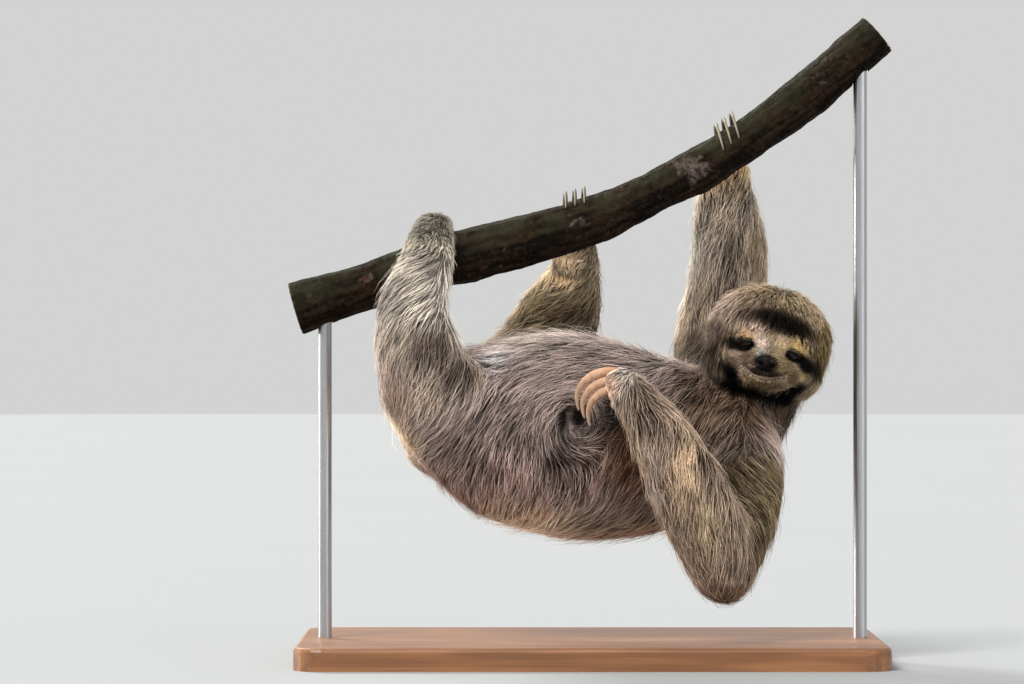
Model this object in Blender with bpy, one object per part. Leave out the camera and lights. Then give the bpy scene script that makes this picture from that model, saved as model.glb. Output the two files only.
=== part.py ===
"""Brown-throated three-toed sloth, life size, hanging by its feet and one hand under a perch.

The still model is in metres with +Z up. The animal's left side faces -Y and its head is at +X.
The origin is the middle of the stand's underside. Bodies are drawn out to the tips of the coat.
Stations and joints are written in millimetres and turned into metres by the helpers.
"""

import math
from dataclasses import dataclass

import bmesh
import bpy
from mathutils import Euler, Matrix, Vector

MM = 0.001

# Clearances between neighbouring pieces
CUT_GAP = 0.0004
PERCH_GAP = 0.0006
SOCKET_GAP = 0.00035
CRUMB_FACES = 40

# Stand
BASE_LENGTH = 0.464
BASE_DEPTH = 0.300
BASE_THICK = 0.018
BASE_CORNER = 0.022
BASE_BEVEL = 0.003
ROD_RADIUS = 0.0055
ROD_IN_BASE = 0.012
ROD_IN_PERCH = 0.013
ROD_X = {"stand_rod_left": -0.212, "stand_rod_right": 0.216}
ROD_SIDES = 24
HOLE_REACH = 0.05

# Meshing of the animal
BODY_VOXEL = 0.0034
BODY_SMOOTHING = 14
BODY_TRIANGLES = 2230
HEAD_VOXEL = 0.0019
HEAD_SMOOTHING = 8
HEAD_TRIANGLES = 1180
SEAT_SMOOTHING = 2
NECK_TRIANGLES = 200
TAIL_TRIANGLES = 120
TUBE_SIDES = 24
DISC_SIDES = 28
SPAN_STEPS = 6
DOME_STEPS = 5

# Head, in its own frame: x across to the viewer's right, y forward to the face, z up
HEAD_CENTRE = (141.5, -20.0, 254.0)
HEAD_ROLL = 14.0
HEAD_PITCH = 8.0
EYE_RADIUS = 5.8
EYE_SPREAD = 18.2
EYE_FORWARD = 41.2
EYE_HEIGHT = 1.0
EYE_SEGMENTS = 12

ACROSS_LEGS = Vector((1.0, 0.0, 0.2))
ACROSS_ARMS = Vector((1.0, 0.0, 0.1))


@dataclass(frozen=True)
class Station:
    """One oval cross-section: centre and half sizes in millimetres."""

    at: tuple
    across: float
    through: float


@dataclass(frozen=True)
class Burl:
    """A swelling on the perch: place along X, angle round it, height, reach (mm, degrees)."""

    x: float
    angle: float
    height: float
    reach: float


@dataclass(frozen=True)
class ClawSet:
    """Three like claws: root, crest and tip of the first, the step to the next, and sizes (mm)."""

    limb: str
    root: tuple
    crest: tuple
    tip: tuple
    step: tuple
    width: float
    depth: float


@dataclass(frozen=True)
class Joint:
    """Where a part is cut from its host: centre, the way to the part, and the cut's reach (mm)."""

    host: str
    part: str
    at: tuple
    towards: tuple
    reach: float


# Centre line and radius of the perch, from its low sawn end to its high one
PERCH = (
    Station((-236, 0, 281), 21.5, 21.5),
    Station((-206, 0, 290), 19.8, 19.8),
    Station((-176, 0, 300), 18.2, 18.2),
    Station((-140, 0, 312), 19.5, 19.5),
    Station((-100, 0, 323), 20.8, 20.8),
    Station((-40, 0, 339), 20.6, 20.6),
    Station((6, 0, 352), 18.6, 18.6),
    Station((44, 0, 371), 17.2, 17.2),
    Station((84, 0, 391), 17.6, 17.6),
    Station((122, 0, 414), 17.0, 17.0),
    Station((158, 0, 440), 17.6, 17.6),
    Station((192, 0, 468), 18.2, 18.2),
    Station((230, 0, 501), 17.8, 17.8),
)
PERCH_BURLS = (
    Burl(-178, -60, 4.5, 15),
    Burl(-122, 150, 4.0, 22),
    Burl(-88, -30, 3.0, 16),
    Burl(2, 200, 3.0, 18),
    Burl(82, -50, 3.4, 13),
    Burl(170, 30, 2.6, 16),
)
PERCH_SIDES = 12
PERCH_STEPS = 2
BURL_FALL = 2.2

TRUNK = (
    Station((-136, 0, 213), 34, 40),
    Station((-113, 0, 203), 54, 57),
    Station((-72, 0, 189), 75, 73),
    Station((-20, 0, 181), 85, 79),
    Station((28, 0, 175), 80, 76),
    Station((72, 0, 176), 69, 67),
    Station((106, 0, 178), 50, 57),
    Station((134, 0, 182), 34, 44),
)
NECK = (
    Station((112, 0, 186), 34, 38),
    Station((131, -3, 206), 36, 38),
    Station((141, -8, 232), 33, 34),
)
TAIL = (
    Station((-106, 6, 150), 14, 13),
    Station((-128, 16, 162), 15, 14),
    Station((-143, 33, 177), 11, 11),
)
LEFT_LEG = (
    Station((-100, -28, 186), 48, 38),
    Station((-124, -56, 216), 44, 34),
    Station((-135, -70, 246), 36, 31),
    Station((-140, -66, 280), 30, 27),
    Station((-132, -53, 308), 26, 22),
    Station((-128, -40, 328), 22, 18),
    Station((-126, -21, 343), 19, 14),
    Station((-125, 2, 346), 17, 13),
    Station((-125, 22, 336), 15, 11),
    Station((-126, 30, 323), 12, 9),
)
RIGHT_LEG = (
    Station((-104, 40, 200), 44, 38),
    Station((-70, 74, 221), 38, 36),
    Station((-37, 94, 247), 41, 34),
    Station((-23, 84, 279), 36, 28),
    Station((-12, 60, 306), 25, 22),
    Station((-11, 44, 322), 20, 17),
    Station((-12, 36, 341), 18, 14),
    Station((-13, 30, 358), 16, 12),
    Station((-13, 24, 366), 12, 8),
)
LEFT_ARM = (
    Station((112, -30, 180), 34, 32),
    Station((124, -52, 160), 31, 31),
    Station((118, -74, 124), 31, 29),
    Station((106, -90, 86), 28, 26),
    Station((102, -104, 74), 26, 24),
    Station((91, -116, 104), 30, 25),
    Station((73, -124, 144), 32, 26),
    Station((52, -123, 184), 26, 23),
    Station((33, -114, 212), 20, 18),
    Station((24, -106, 223), 16, 14),
    Station((16, -101, 227), 12, 11),
)
ELBOW_TUFT = (
    Station((108, -96, 84), 20, 18),
    Station((106, -98, 64), 13, 12),
    Station((105, -98, 50), 4, 4),
)
RIGHT_ARM = (
    Station((110, 34, 184), 38, 36),
    Station((106, 80, 206), 36, 36),
    Station((104, 114, 248), 35, 33),
    Station((112, 108, 288), 34, 31),
    Station((116, 94, 325), 33, 29),
    Station((112, 70, 367), 27, 24),
    Station((112, 48, 392), 20, 18),
    Station((109, 35, 407), 17, 14),
    Station((106, 27, 418), 14, 11),
)

# Ellipsoids of the head, in its own frame: centre and half sizes
HEAD_SHAPES = (
    ((0, -3, 2), (52, 49, 45)),      # crown and nape
    ((0, 10, -4), (49, 38, 41)),     # sides of the face
    ((22, 8, -18), (28, 31, 25)),    # cheeks
    ((-22, 8, -18), (28, 31, 25)),
    ((0, 23, 9), (37, 27, 26)),      # forehead
    ((0, 28, -13), (34, 26, 22)),    # face disc
    ((0, 38, -13), (25, 25, 17)),    # muzzle
    ((0, 55, -8), (11, 9, 8)),       # nose
    ((0, 34, -25), (23, 22, 13)),    # jaw
)

# Where each part is cut from its host, going out along every limb
JOINTS = (
    Joint("trunk", "left_thigh", (-131, -58, 220), (-0.3, -0.75, 0.58), 54),
    Joint("left_thigh", "left_shank", (-139, -69, 262), (-0.1, 0.1, 1.0), 42),
    Joint("left_shank", "left_foot", (-130, -47, 317), (0.2, 0.6, 0.8), 34),
    Joint("trunk", "right_thigh", (-70, 62, 218), (-0.23, 0.93, 0.29), 80),
    Joint("right_thigh", "right_shank", (-30, 91, 262), (0.35, -0.2, 0.9), 48),
    Joint("right_shank", "right_foot", (-11, 52, 314), (0.0, -0.6, 0.8), 34),
    Joint("trunk", "left_upper_arm", (122, -60, 146), (0.1, -0.75, -0.65), 44),
    Joint("left_upper_arm", "left_forearm", (108, -93, 88), (-0.62, -0.76, -0.1), 56),
    Joint("left_forearm", "left_hand", (30, -112, 215), (-0.7, 0.4, 0.6), 32),
    Joint("trunk", "right_upper_arm", (106, 77, 204), (0.0, 0.85, 0.53), 46),
    Joint("right_upper_arm", "right_forearm", (106, 113, 256), (0.1, 0.1, 1.0), 44),
    Joint("right_forearm", "right_hand", (112, 54, 385), (0.0, -0.6, 0.8), 30),
)

CLAWS = (
    ClawSet("left_hand", (21, -104, 231), (-6, -97, 224), (-10, -81, 201), (4.4, 0.4, -6.2), 5.6, 7.4),
    ClawSet("right_hand", (106.5, 34, 405), (101, 0, 428), (106, -21, 407.5), (6.2, 0, 4.6), 4.4, 5.8),
    ClawSet("left_foot", (-133.6, 10, 343), (-133.6, 31, 318), (-133.6, 12, 292), (7.8, 0, 2.0), 4.0, 5.4),
    ClawSet("right_foot", (-19.6, 27, 354), (-19.6, 4, 374), (-19.6, -14, 361), (7.4, 0, 2.0), 4.0, 5.4),
)
CLAW_SIDES = 6
CLAW_STEPS = 7
CLAW_TIP = 0.28
CLAW_TAPER = 1.7
CLAW_ROOT_DOME = 0.3
CLAW_TIP_DOME = 0.4


# ---------------------------------------------------------------------------------- helpers


def clear_scene():
    """Remove every object the scene starts with."""
    for obj in list(bpy.data.objects):
        bpy.data.objects.remove(obj, do_unlink=True)


def make_material(name, colour, roughness, metallic=0.0):
    """Return a Principled material with a plain colour."""
    material = bpy.data.materials.new(name)
    material.use_nodes = True
    shader = material.node_tree.nodes["Principled BSDF"]
    shader.inputs["Base Color"].default_value = (*colour, 1.0)
    shader.inputs["Roughness"].default_value = roughness
    shader.inputs["Metallic"].default_value = metallic
    return material


def add_object(name, mesh):
    """Link a mesh to the scene as a named object."""
    obj = bpy.data.objects.new(name, mesh)
    bpy.context.scene.collection.objects.link(obj)
    return obj


def mesh_from(bm, name):
    """Turn a bmesh into a mesh whose faces point outwards, and free it."""
    bmesh.ops.recalc_face_normals(bm, faces=bm.faces)
    mesh = bpy.data.meshes.new(name)
    bm.to_mesh(mesh)
    bm.free()
    return mesh


def apply_modifiers(obj):
    """Replace an object's mesh by its evaluated one and drop its modifiers."""
    graph = bpy.context.evaluated_depsgraph_get()
    mesh = bpy.data.meshes.new_from_object(obj.evaluated_get(graph))
    obj.modifiers.clear()
    obj.data = mesh


def subtract(obj, mesh):
    """Cut a closed mesh out of an object."""
    cutter = add_object("cutter", mesh)
    modifier = obj.modifiers.new("cut", "BOOLEAN")
    modifier.operation = "DIFFERENCE"
    modifier.object = cutter
    apply_modifiers(obj)
    bpy.data.objects.remove(cutter, do_unlink=True)


def finish(obj, material, sharp_angle=40.0):
    """Shade an object smooth between its sharp edges and give it its material."""
    obj.data.materials.clear()
    obj.data.materials.append(material)
    obj.data.shade_smooth()
    obj.data.set_sharp_from_angle(angle=math.radians(sharp_angle))


def catmull_rom(values, span, t):
    """Return the smooth value at fraction t of one span of a list of vectors."""
    last = len(values) - 1
    p0 = values[max(span - 1, 0)]
    p1 = values[span]
    p2 = values[span + 1]
    p3 = values[min(span + 2, last)]
    along = (p2 - p0) * t
    bend = (2 * p0 - 5 * p1 + 4 * p2 - p3) * t * t
    twist = (3 * p1 - 3 * p2 + p3 - p0) * t * t * t
    return p1 + 0.5 * (along + bend + twist)


def resample(stations, steps):
    """Return smooth (centre, across, through) samples in metres along a list of stations."""
    centres = [Vector(station.at) * MM for station in stations]
    sizes = [Vector((station.across, station.through, 0)) * MM for station in stations]
    samples = []
    for span in range(len(stations) - 1):
        for step in range(steps):
            t = step / steps
            size = catmull_rom(sizes, span, t)
            samples.append((catmull_rom(centres, span, t), size.x, size.y))
    samples.append((centres[-1], sizes[-1].x, sizes[-1].y))
    return samples


def ring_frames(samples, hint):
    """Return the tangent, across and through directions at each sample."""
    frames = []
    last = len(samples) - 1
    for i in range(len(samples)):
        tangent = (samples[min(i + 1, last)][0] - samples[max(i - 1, 0)][0]).normalized()
        across = (hint - tangent * hint.dot(tangent)).normalized()
        frames.append((tangent, across, tangent.cross(across)))
    return frames


def add_ring(bm, centre, across, through, sides):
    """Add one oval ring of vertices from its centre and its two half axes."""
    ring = []
    for side in range(sides):
        angle = math.tau * side / sides
        ring.append(bm.verts.new(centre + across * math.cos(angle) + through * math.sin(angle)))
    return ring


def skin_rings(bm, rings):
    """Join neighbouring rings with quads."""
    for lower, upper in zip(rings, rings[1:]):
        for side in range(len(lower)):
            after = (side + 1) % len(lower)
            bm.faces.new((lower[side], lower[after], upper[after], upper[side]))


def close_dome(bm, ring, point):
    """Close a ring with a fan to one point."""
    pole = bm.verts.new(point)
    for side in range(len(ring)):
        bm.faces.new((ring[side], ring[(side + 1) % len(ring)], pole))


def add_tube(bm, stations, hint, dome=0.6):
    """Add a closed oval tube with rounded ends along a list of stations."""
    samples = resample(stations, SPAN_STEPS)
    frames = ring_frames(samples, hint)
    plan = []
    for end, sign in ((0, -1.0), (-1, 1.0)):
        centre, across, through = samples[end]
        tangent, side_a, side_b = frames[end]
        reach = dome * (across + through) * 0.5
        caps = []
        for step in range(1, DOME_STEPS):
            turn = 0.5 * math.pi * step / DOME_STEPS
            place = centre + tangent * sign * reach * math.sin(turn)
            shrink = math.cos(turn)
            caps.append((place, side_a * across * shrink, side_b * through * shrink))
        plan.append((caps, centre + tangent * sign * reach))
    middle = []
    for (centre, across, through), (_, side_a, side_b) in zip(samples, frames):
        middle.append((centre, side_a * across, side_b * through))
    ordered = list(reversed(plan[0][0])) + middle + plan[1][0]
    rings = [add_ring(bm, *ring, TUBE_SIDES) for ring in ordered]
    skin_rings(bm, rings)
    close_dome(bm, rings[0], plan[0][1])
    close_dome(bm, rings[-1], plan[1][1])


def add_ellipsoid(bm, frame, centre, radii, segments=32):
    """Add an ellipsoid given in millimetres in a frame."""
    size = Matrix.Diagonal((*(Vector(radii) * MM), 1.0))
    matrix = frame @ Matrix.Translation(Vector(centre) * MM) @ size
    bmesh.ops.create_uvsphere(bm, u_segments=segments, v_segments=segments // 2, radius=1.0, matrix=matrix)


def blend(obj, voxel, smoothing, triangles):
    """Fuse an object's overlapping shells, smooth them and thin the mesh to a triangle count."""
    remesh = obj.modifiers.new("fuse", "REMESH")
    remesh.mode = "VOXEL"
    remesh.voxel_size = voxel
    smooth = obj.modifiers.new("smooth", "SMOOTH")
    smooth.factor = 0.5
    smooth.iterations = smoothing
    apply_modifiers(obj)
    obj.data.calc_loop_triangles()
    thin = obj.modifiers.new("thin", "DECIMATE")
    thin.ratio = triangles / len(obj.data.loop_triangles)
    apply_modifiers(obj)


def grown_copy(mesh, amount):
    """Return a copy of a mesh pushed outwards along its normals."""
    copy = mesh.copy()
    normals = [normal.vector.copy() for normal in copy.vertex_normals]
    for vertex, normal in zip(copy.vertices, normals):
        vertex.co += normal * amount
    return copy


# ---------------------------------------------------------------------------------- perch


def perch_radius(place, angle, radius):
    """Return the perch's radius at a place along it and an angle round it, in metres."""
    for burl in PERCH_BURLS:
        along = (place.x / MM - burl.x) / burl.reach
        turn = math.radians(angle - burl.angle)
        round_it = (1.0 - math.cos(turn)) * BURL_FALL
        radius += burl.height * MM * math.exp(-along * along - round_it)
    return radius


def perch_mesh(grow=0.0):
    """Return the perch's mesh: a bent tube with burls and flat sawn ends."""
    bm = bmesh.new()
    samples = resample(PERCH, PERCH_STEPS)
    rings = []
    for (centre, radius, _), (_, across, through) in zip(samples, ring_frames(samples, Vector((0, 1, 0)))):
        ring = []
        for side in range(PERCH_SIDES):
            angle = 360.0 * side / PERCH_SIDES
            reach = perch_radius(centre, angle, radius) + grow
            turn = math.radians(angle)
            direction = -across * math.sin(turn) - through * math.cos(turn)
            ring.append(bm.verts.new(centre + direction * reach))
        rings.append(ring)
    skin_rings(bm, rings)
    bmesh.ops.triangulate(bm, faces=bm.faces, quad_method="FIXED")
    bm.faces.new(rings[0])
    bm.faces.new(rings[-1])
    return mesh_from(bm, "perch")


def perch_height(x):
    """Return the height of the perch's centre line and its radius over a place in X."""
    samples = resample(PERCH, PERCH_STEPS)
    for (low, radius, _), (high, next_radius, _) in zip(samples, samples[1:]):
        if low.x <= x <= high.x:
            t = (x - low.x) / (high.x - low.x)
            return low.z + t * (high.z - low.z), radius + t * (next_radius - radius)
    raise ValueError("place is not over the perch")


def rod_top(x):
    """Return the height where a rod's top sits inside the perch."""
    height, radius = perch_height(x)
    return height - radius + ROD_IN_PERCH


def cylinder_mesh(name, x, bottom, top, radius):
    """Return an upright cylinder's mesh."""
    bm = bmesh.new()
    middle = Matrix.Translation((x, 0.0, 0.5 * (bottom + top)))
    bmesh.ops.create_cone(bm, cap_ends=True, segments=ROD_SIDES, radius1=radius, radius2=radius,
                          depth=top - bottom, matrix=middle)
    return mesh_from(bm, name)


def build_perch(material):
    """Make the cut length of branch, with a blind hole over each rod."""
    perch = add_object("perch", perch_mesh())
    for x in ROD_X.values():
        top = rod_top(x) + SOCKET_GAP
        subtract(perch, cylinder_mesh("hole", x, top - HOLE_REACH, top, ROD_RADIUS + SOCKET_GAP))
    finish(perch, material)


# ---------------------------------------------------------------------------------- stand


def build_stand(wood, steel):
    """Make the flat base board and the two rods that carry the perch."""
    bm = bmesh.new()
    size = Matrix.Diagonal((BASE_LENGTH, BASE_DEPTH, BASE_THICK, 1.0))
    place = Matrix.Translation((0.0, 0.0, 0.5 * BASE_THICK))
    bmesh.ops.create_cube(bm, size=1.0, matrix=place @ size)
    uprights = [edge for edge in bm.edges if abs(edge.verts[0].co.z - edge.verts[1].co.z) > 0.5 * BASE_THICK]
    bmesh.ops.bevel(bm, geom=uprights, offset=BASE_CORNER, segments=4, profile=0.5, affect="EDGES",
                    material=-1)
    rim = [edge for edge in bm.edges if min(v.co.z for v in edge.verts) > BASE_THICK - MM]
    bmesh.ops.bevel(bm, geom=rim, offset=BASE_BEVEL, segments=2, profile=0.5, affect="EDGES", material=-1)
    base = add_object("stand_base", mesh_from(bm, "stand_base"))
    foot = BASE_THICK - ROD_IN_BASE
    for name, x in ROD_X.items():
        hole = cylinder_mesh("hole", x, foot - SOCKET_GAP, foot + HOLE_REACH, ROD_RADIUS + SOCKET_GAP)
        subtract(base, hole)
        rod = add_object(name, cylinder_mesh(name, x, foot, rod_top(x), ROD_RADIUS))
        finish(rod, steel)
    finish(base, wood, 30.0)


# ---------------------------------------------------------------------------------- animal


def head_frame():
    """Return the matrix that places the head: y forward to the face, z up, x to the viewer's right."""
    facing = Matrix(((1, 0, 0), (0, -1, 0), (0, 0, 1))).to_4x4()
    roll = Euler((0.0, math.radians(HEAD_ROLL), 0.0)).to_matrix().to_4x4()
    pitch = Euler((math.radians(HEAD_PITCH), 0.0, 0.0)).to_matrix().to_4x4()
    return Matrix.Translation(Vector(HEAD_CENTRE) * MM) @ roll @ pitch @ facing


def build_head(coat, eye_material):
    """Make the head with its two eyes, and return the head object."""
    frame = head_frame()
    bm = bmesh.new()
    for centre, radii in HEAD_SHAPES:
        add_ellipsoid(bm, frame, centre, radii)
    head = add_object("head", mesh_from(bm, "head"))
    blend(head, HEAD_VOXEL, HEAD_SMOOTHING, HEAD_TRIANGLES)
    for name, side in (("left_eye", 1.0), ("right_eye", -1.0)):
        centre = (side * EYE_SPREAD, EYE_FORWARD, EYE_HEIGHT)
        for radius in (EYE_RADIUS + SOCKET_GAP / MM, EYE_RADIUS):
            ball = bmesh.new()
            add_ellipsoid(ball, frame, centre, (radius, radius, radius), EYE_SEGMENTS)
            mesh = mesh_from(ball, name)
            if radius > EYE_RADIUS:
                subtract(head, mesh)
            else:
                finish(add_object(name, mesh), eye_material, 80.0)
    finish(head, coat)
    return head


def disc_mesh(joint):
    """Return a thin disc that parts a limb at a joint."""
    bm = bmesh.new()
    turn = Vector(joint.towards).to_track_quat("Z", "Y").to_matrix().to_4x4()
    matrix = Matrix.Translation(Vector(joint.at) * MM) @ turn
    bmesh.ops.create_cone(bm, cap_ends=True, segments=DISC_SIDES, radius1=joint.reach * MM,
                          radius2=joint.reach * MM, depth=CUT_GAP, matrix=matrix)
    return mesh_from(bm, "disc")


def split_loose(obj):
    """Return the meshes of an object's separate closed shells, leaving out crumbs."""
    bm = bmesh.new()
    bm.from_mesh(obj.data)
    remaining = set(bm.faces)
    shells = []
    while remaining:
        stack = [remaining.pop()]
        shell = set(stack)
        while stack:
            for edge in stack.pop().edges:
                for face in edge.link_faces:
                    if face in remaining:
                        remaining.discard(face)
                        shell.add(face)
                        stack.append(face)
        if len(shell) >= CRUMB_FACES:
            shells.append({face.index for face in shell})
    bm.free()
    meshes = []
    for shell in shells:
        part = bmesh.new()
        part.from_mesh(obj.data)
        doomed = [face for face in part.faces if face.index not in shell]
        bmesh.ops.delete(part, geom=doomed, context="FACES")
        meshes.append(mesh_from(part, "part"))
    return meshes


def cut_joint(host, joint):
    """Cut a part from its host, which keeps its own side, and return the part."""
    subtract(host, disc_mesh(joint))
    shells = split_loose(host)
    if len(shells) != 2:
        raise ValueError(f"{joint.part} gave {len(shells)} shells")
    away = Vector(joint.towards)
    reach = {}
    for index, mesh in enumerate(shells):
        middle = sum((vertex.co for vertex in mesh.vertices), Vector()) / len(mesh.vertices)
        reach[index] = middle.dot(away)
    far = max(reach, key=reach.get)
    host.data = shells[1 - far]
    return add_object(joint.part, shells[far])


def build_seated(name, stations, triangles, coat):
    """Make a short part that the body is hollowed to seat."""
    bm = bmesh.new()
    add_tube(bm, stations, ACROSS_ARMS)
    obj = add_object(name, mesh_from(bm, name))
    blend(obj, BODY_VOXEL, SEAT_SMOOTHING, triangles)
    finish(obj, coat)
    return obj


def build_body(head, coat):
    """Model trunk, neck and limbs whole, seat the head, tail and perch in them, and part them."""
    bm = bmesh.new()
    add_tube(bm, TRUNK, Vector((0, 0, 1)), dome=0.5)
    for limb in (LEFT_LEG, RIGHT_LEG):
        add_tube(bm, limb, ACROSS_LEGS)
    for limb in (LEFT_ARM, RIGHT_ARM, ELBOW_TUFT):
        add_tube(bm, limb, ACROSS_ARMS)
    body = add_object("trunk", mesh_from(bm, "trunk"))
    blend(body, BODY_VOXEL, BODY_SMOOTHING, BODY_TRIANGLES)

    tail = build_seated("tail", TAIL, TAIL_TRIANGLES, coat)
    neck = build_seated("neck", NECK, NECK_TRIANGLES, coat)
    for seated in (head, neck, tail):
        subtract(body, grown_copy(seated.data, CUT_GAP))
    subtract(neck, grown_copy(head.data, CUT_GAP))

    subtract(body, perch_mesh(grow=PERCH_GAP))
    parts = {"trunk": body}
    for joint in JOINTS:
        parts[joint.part] = cut_joint(parts[joint.host], joint)
    for part in parts.values():
        finish(part, coat)
    return parts


# ---------------------------------------------------------------------------------- claws


def arc_points(start, middle, end, count):
    """Return evenly spaced points on the circle through three points."""
    chord = end - start
    normal = chord.cross(middle - start)
    a = start - middle
    b = end - middle
    axis = a.cross(b)
    lean = b * a.length_squared - a * b.length_squared
    centre = middle + lean.cross(axis) / (2.0 * axis.length_squared)
    spoke = start - centre
    normal.normalize()
    side = normal.cross(spoke)
    total = math.atan2((end - centre).dot(side), (end - centre).dot(spoke)) % math.tau
    part = math.atan2((middle - centre).dot(side), (middle - centre).dot(spoke)) % math.tau
    if part > total:
        total -= math.tau
    points = []
    for step in range(count + 1):
        turn = total * step / count
        points.append(centre + spoke * math.cos(turn) + side * math.sin(turn))
    return points, centre


def claw_mesh(claws, index, grow=0.0):
    """Return one curved, tapering claw, deeper than it is wide."""
    step = Vector(claws.step) * index
    corners = [(Vector(point) + step) * MM for point in (claws.root, claws.crest, claws.tip)]
    points, centre = arc_points(*corners, CLAW_STEPS)
    bm = bmesh.new()
    rings = []
    for i, point in enumerate(points):
        t = i / CLAW_STEPS
        size = 1.0 - (1.0 - CLAW_TIP) * t ** CLAW_TAPER
        outward = (point - centre).normalized()
        flat = outward.cross(points[min(i + 1, CLAW_STEPS)] - points[max(i - 1, 0)]).normalized()
        half_depth = 0.5 * claws.depth * MM * size + grow
        half_width = 0.5 * claws.width * MM * size + grow
        rings.append(add_ring(bm, point, outward * half_depth, flat * half_width, CLAW_SIDES))
    skin_rings(bm, rings)
    run = (points[0] - points[1]).normalized()
    close_dome(bm, rings[0], points[0] + run * (CLAW_ROOT_DOME * claws.width * MM + grow))
    run = (points[-1] - points[-2]).normalized()
    close_dome(bm, rings[-1], points[-1] + run * CLAW_TIP_DOME * CLAW_TIP * claws.width * MM)
    return mesh_from(bm, "claw")


def build_claws(parts, horn):
    """Make three claws on each hand and foot, each rooted in a socket of its own."""
    for claws in CLAWS:
        limb = parts[claws.limb]
        for index in range(3):
            subtract(limb, claw_mesh(claws, index, grow=SOCKET_GAP))
            claw = add_object(f"{claws.limb}_claw_{index + 1}", claw_mesh(claws, index))
            finish(claw, horn, 60.0)


def main():
    """Build the whole model."""
    clear_scene()
    coat = make_material("coat", (0.17, 0.125, 0.095), 0.85)
    eye_glaze = make_material("eye", (0.015, 0.01, 0.008), 0.08)
    horn = make_material("claw", (0.55, 0.40, 0.30), 0.45)
    bark = make_material("bark", (0.045, 0.035, 0.022), 0.9)
    wood = make_material("base_wood", (0.20, 0.11, 0.06), 0.45)
    steel = make_material("rod_steel", (0.55, 0.55, 0.56), 0.3, 1.0)
    head = build_head(coat, eye_glaze)
    parts = build_body(head, coat)
    build_claws(parts, horn)
    build_perch(bark)
    build_stand(wood, steel)


main()
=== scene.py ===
"""Studio scene of a life-size three-toed sloth, hanging under a cut branch on a plain stand.

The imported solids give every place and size. One skin is fused from the solids of the body and sunk
by the depth of the coat. Its fields of colour, length and lie then grow the coat as solid tufts.
Lengths are in metres, and in millimetres where a name or a docstring says so.
"""

import logging
import math
from dataclasses import dataclass, field
from enum import Enum

import bmesh
import bpy
import numpy as np
from bmesh.types import BMesh
from bpy.types import Material, Mesh, Node, NodeOutputs, NodeSocket, NodeTree, Object
from mathutils import Matrix, Vector, noise
from mathutils.bvhtree import BVHTree
from mathutils.kdtree import KDTree

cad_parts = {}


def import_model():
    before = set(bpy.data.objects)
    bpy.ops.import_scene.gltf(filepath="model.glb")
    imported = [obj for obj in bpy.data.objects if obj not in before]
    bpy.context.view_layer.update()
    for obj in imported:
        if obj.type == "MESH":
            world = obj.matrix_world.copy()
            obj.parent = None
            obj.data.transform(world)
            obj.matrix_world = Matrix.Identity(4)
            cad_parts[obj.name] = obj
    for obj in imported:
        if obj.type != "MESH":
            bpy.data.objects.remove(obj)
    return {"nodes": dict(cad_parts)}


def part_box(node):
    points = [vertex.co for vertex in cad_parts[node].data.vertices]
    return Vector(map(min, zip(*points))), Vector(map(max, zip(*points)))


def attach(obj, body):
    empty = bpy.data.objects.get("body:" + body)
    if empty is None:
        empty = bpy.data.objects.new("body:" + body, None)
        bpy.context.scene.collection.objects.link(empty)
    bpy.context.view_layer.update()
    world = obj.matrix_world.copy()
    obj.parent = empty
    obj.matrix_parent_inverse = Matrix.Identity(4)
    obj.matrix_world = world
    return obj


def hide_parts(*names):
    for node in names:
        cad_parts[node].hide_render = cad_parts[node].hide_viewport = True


LOG = logging.getLogger("sloth")
MM = 0.001
LIMBS = ("thigh", "shank", "foot", "upper_arm", "forearm", "hand")
FLESH = ("head", "neck", "trunk", "tail") + tuple(
    f"{side}_{part}" for side in ("left", "right") for part in LIMBS
)
Array = np.ndarray
Triple = tuple[float, float, float]


class Slot(Enum):
    """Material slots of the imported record."""

    COAT = "coat"
    EYE = "eye"
    CLAW = "claw"
    BARK = "bark"


class Region(Enum):
    """Stretches of coat that are kept as separate pieces."""

    HEAD = ("head",)
    NECK = ("neck",)
    TRUNK = ("trunk", "tail")
    LEFT_LEG = ("left_thigh", "left_shank", "left_foot")
    RIGHT_LEG = ("right_thigh", "right_shank", "right_foot")
    LEFT_ARM = ("left_upper_arm", "left_forearm", "left_hand")
    RIGHT_ARM = ("right_upper_arm", "right_forearm", "right_hand")


# ---- small helpers


def linear(colour: Triple) -> Array:
    """Return the linear colour of a display colour given from 0 to 255."""
    scaled = np.asarray(colour, dtype=float) / 255.0
    return np.where(scaled <= 0.04045, scaled / 12.92, ((scaled + 0.055) / 1.055) ** 2.4)


def rgba(colour: Triple) -> tuple[float, float, float, float]:
    """Return a linear colour with full alpha from a display colour given from 0 to 255."""
    return (*linear(colour), 1.0)


def unit(vectors: Array) -> Array:
    """Return vectors scaled to length one."""
    return vectors / np.maximum(np.linalg.norm(vectors, axis=-1, keepdims=True), 1e-12)


def ease(values: Array, low: float, high: float) -> Array:
    """Return a smooth step from 0 at low to 1 at high."""
    t = np.clip((values - low) / (high - low), 0.0, 1.0)
    return t * t * (3.0 - 2.0 * t)


def ripple(points: Array, scale: float, seed: float = 0.0) -> Array:
    """Return smooth noise from about -1 to 1 at each point.

    Args:
        points: Places in metres, one row each.
        scale: Ripples in a metre.
        seed: Shift that gives a different pattern.

    Returns:
        One number for each point.
    """
    return np.array([noise.noise(Vector(row)) for row in points * scale + seed])


def link_object(name: str, mesh: Mesh) -> Object:
    """Link a mesh to the scene.

    Args:
        name: The object's name.
        mesh: Its mesh.

    Returns:
        The new object.
    """
    obj = bpy.data.objects.new(name, mesh)
    bpy.context.scene.collection.objects.link(obj)
    return obj


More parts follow.
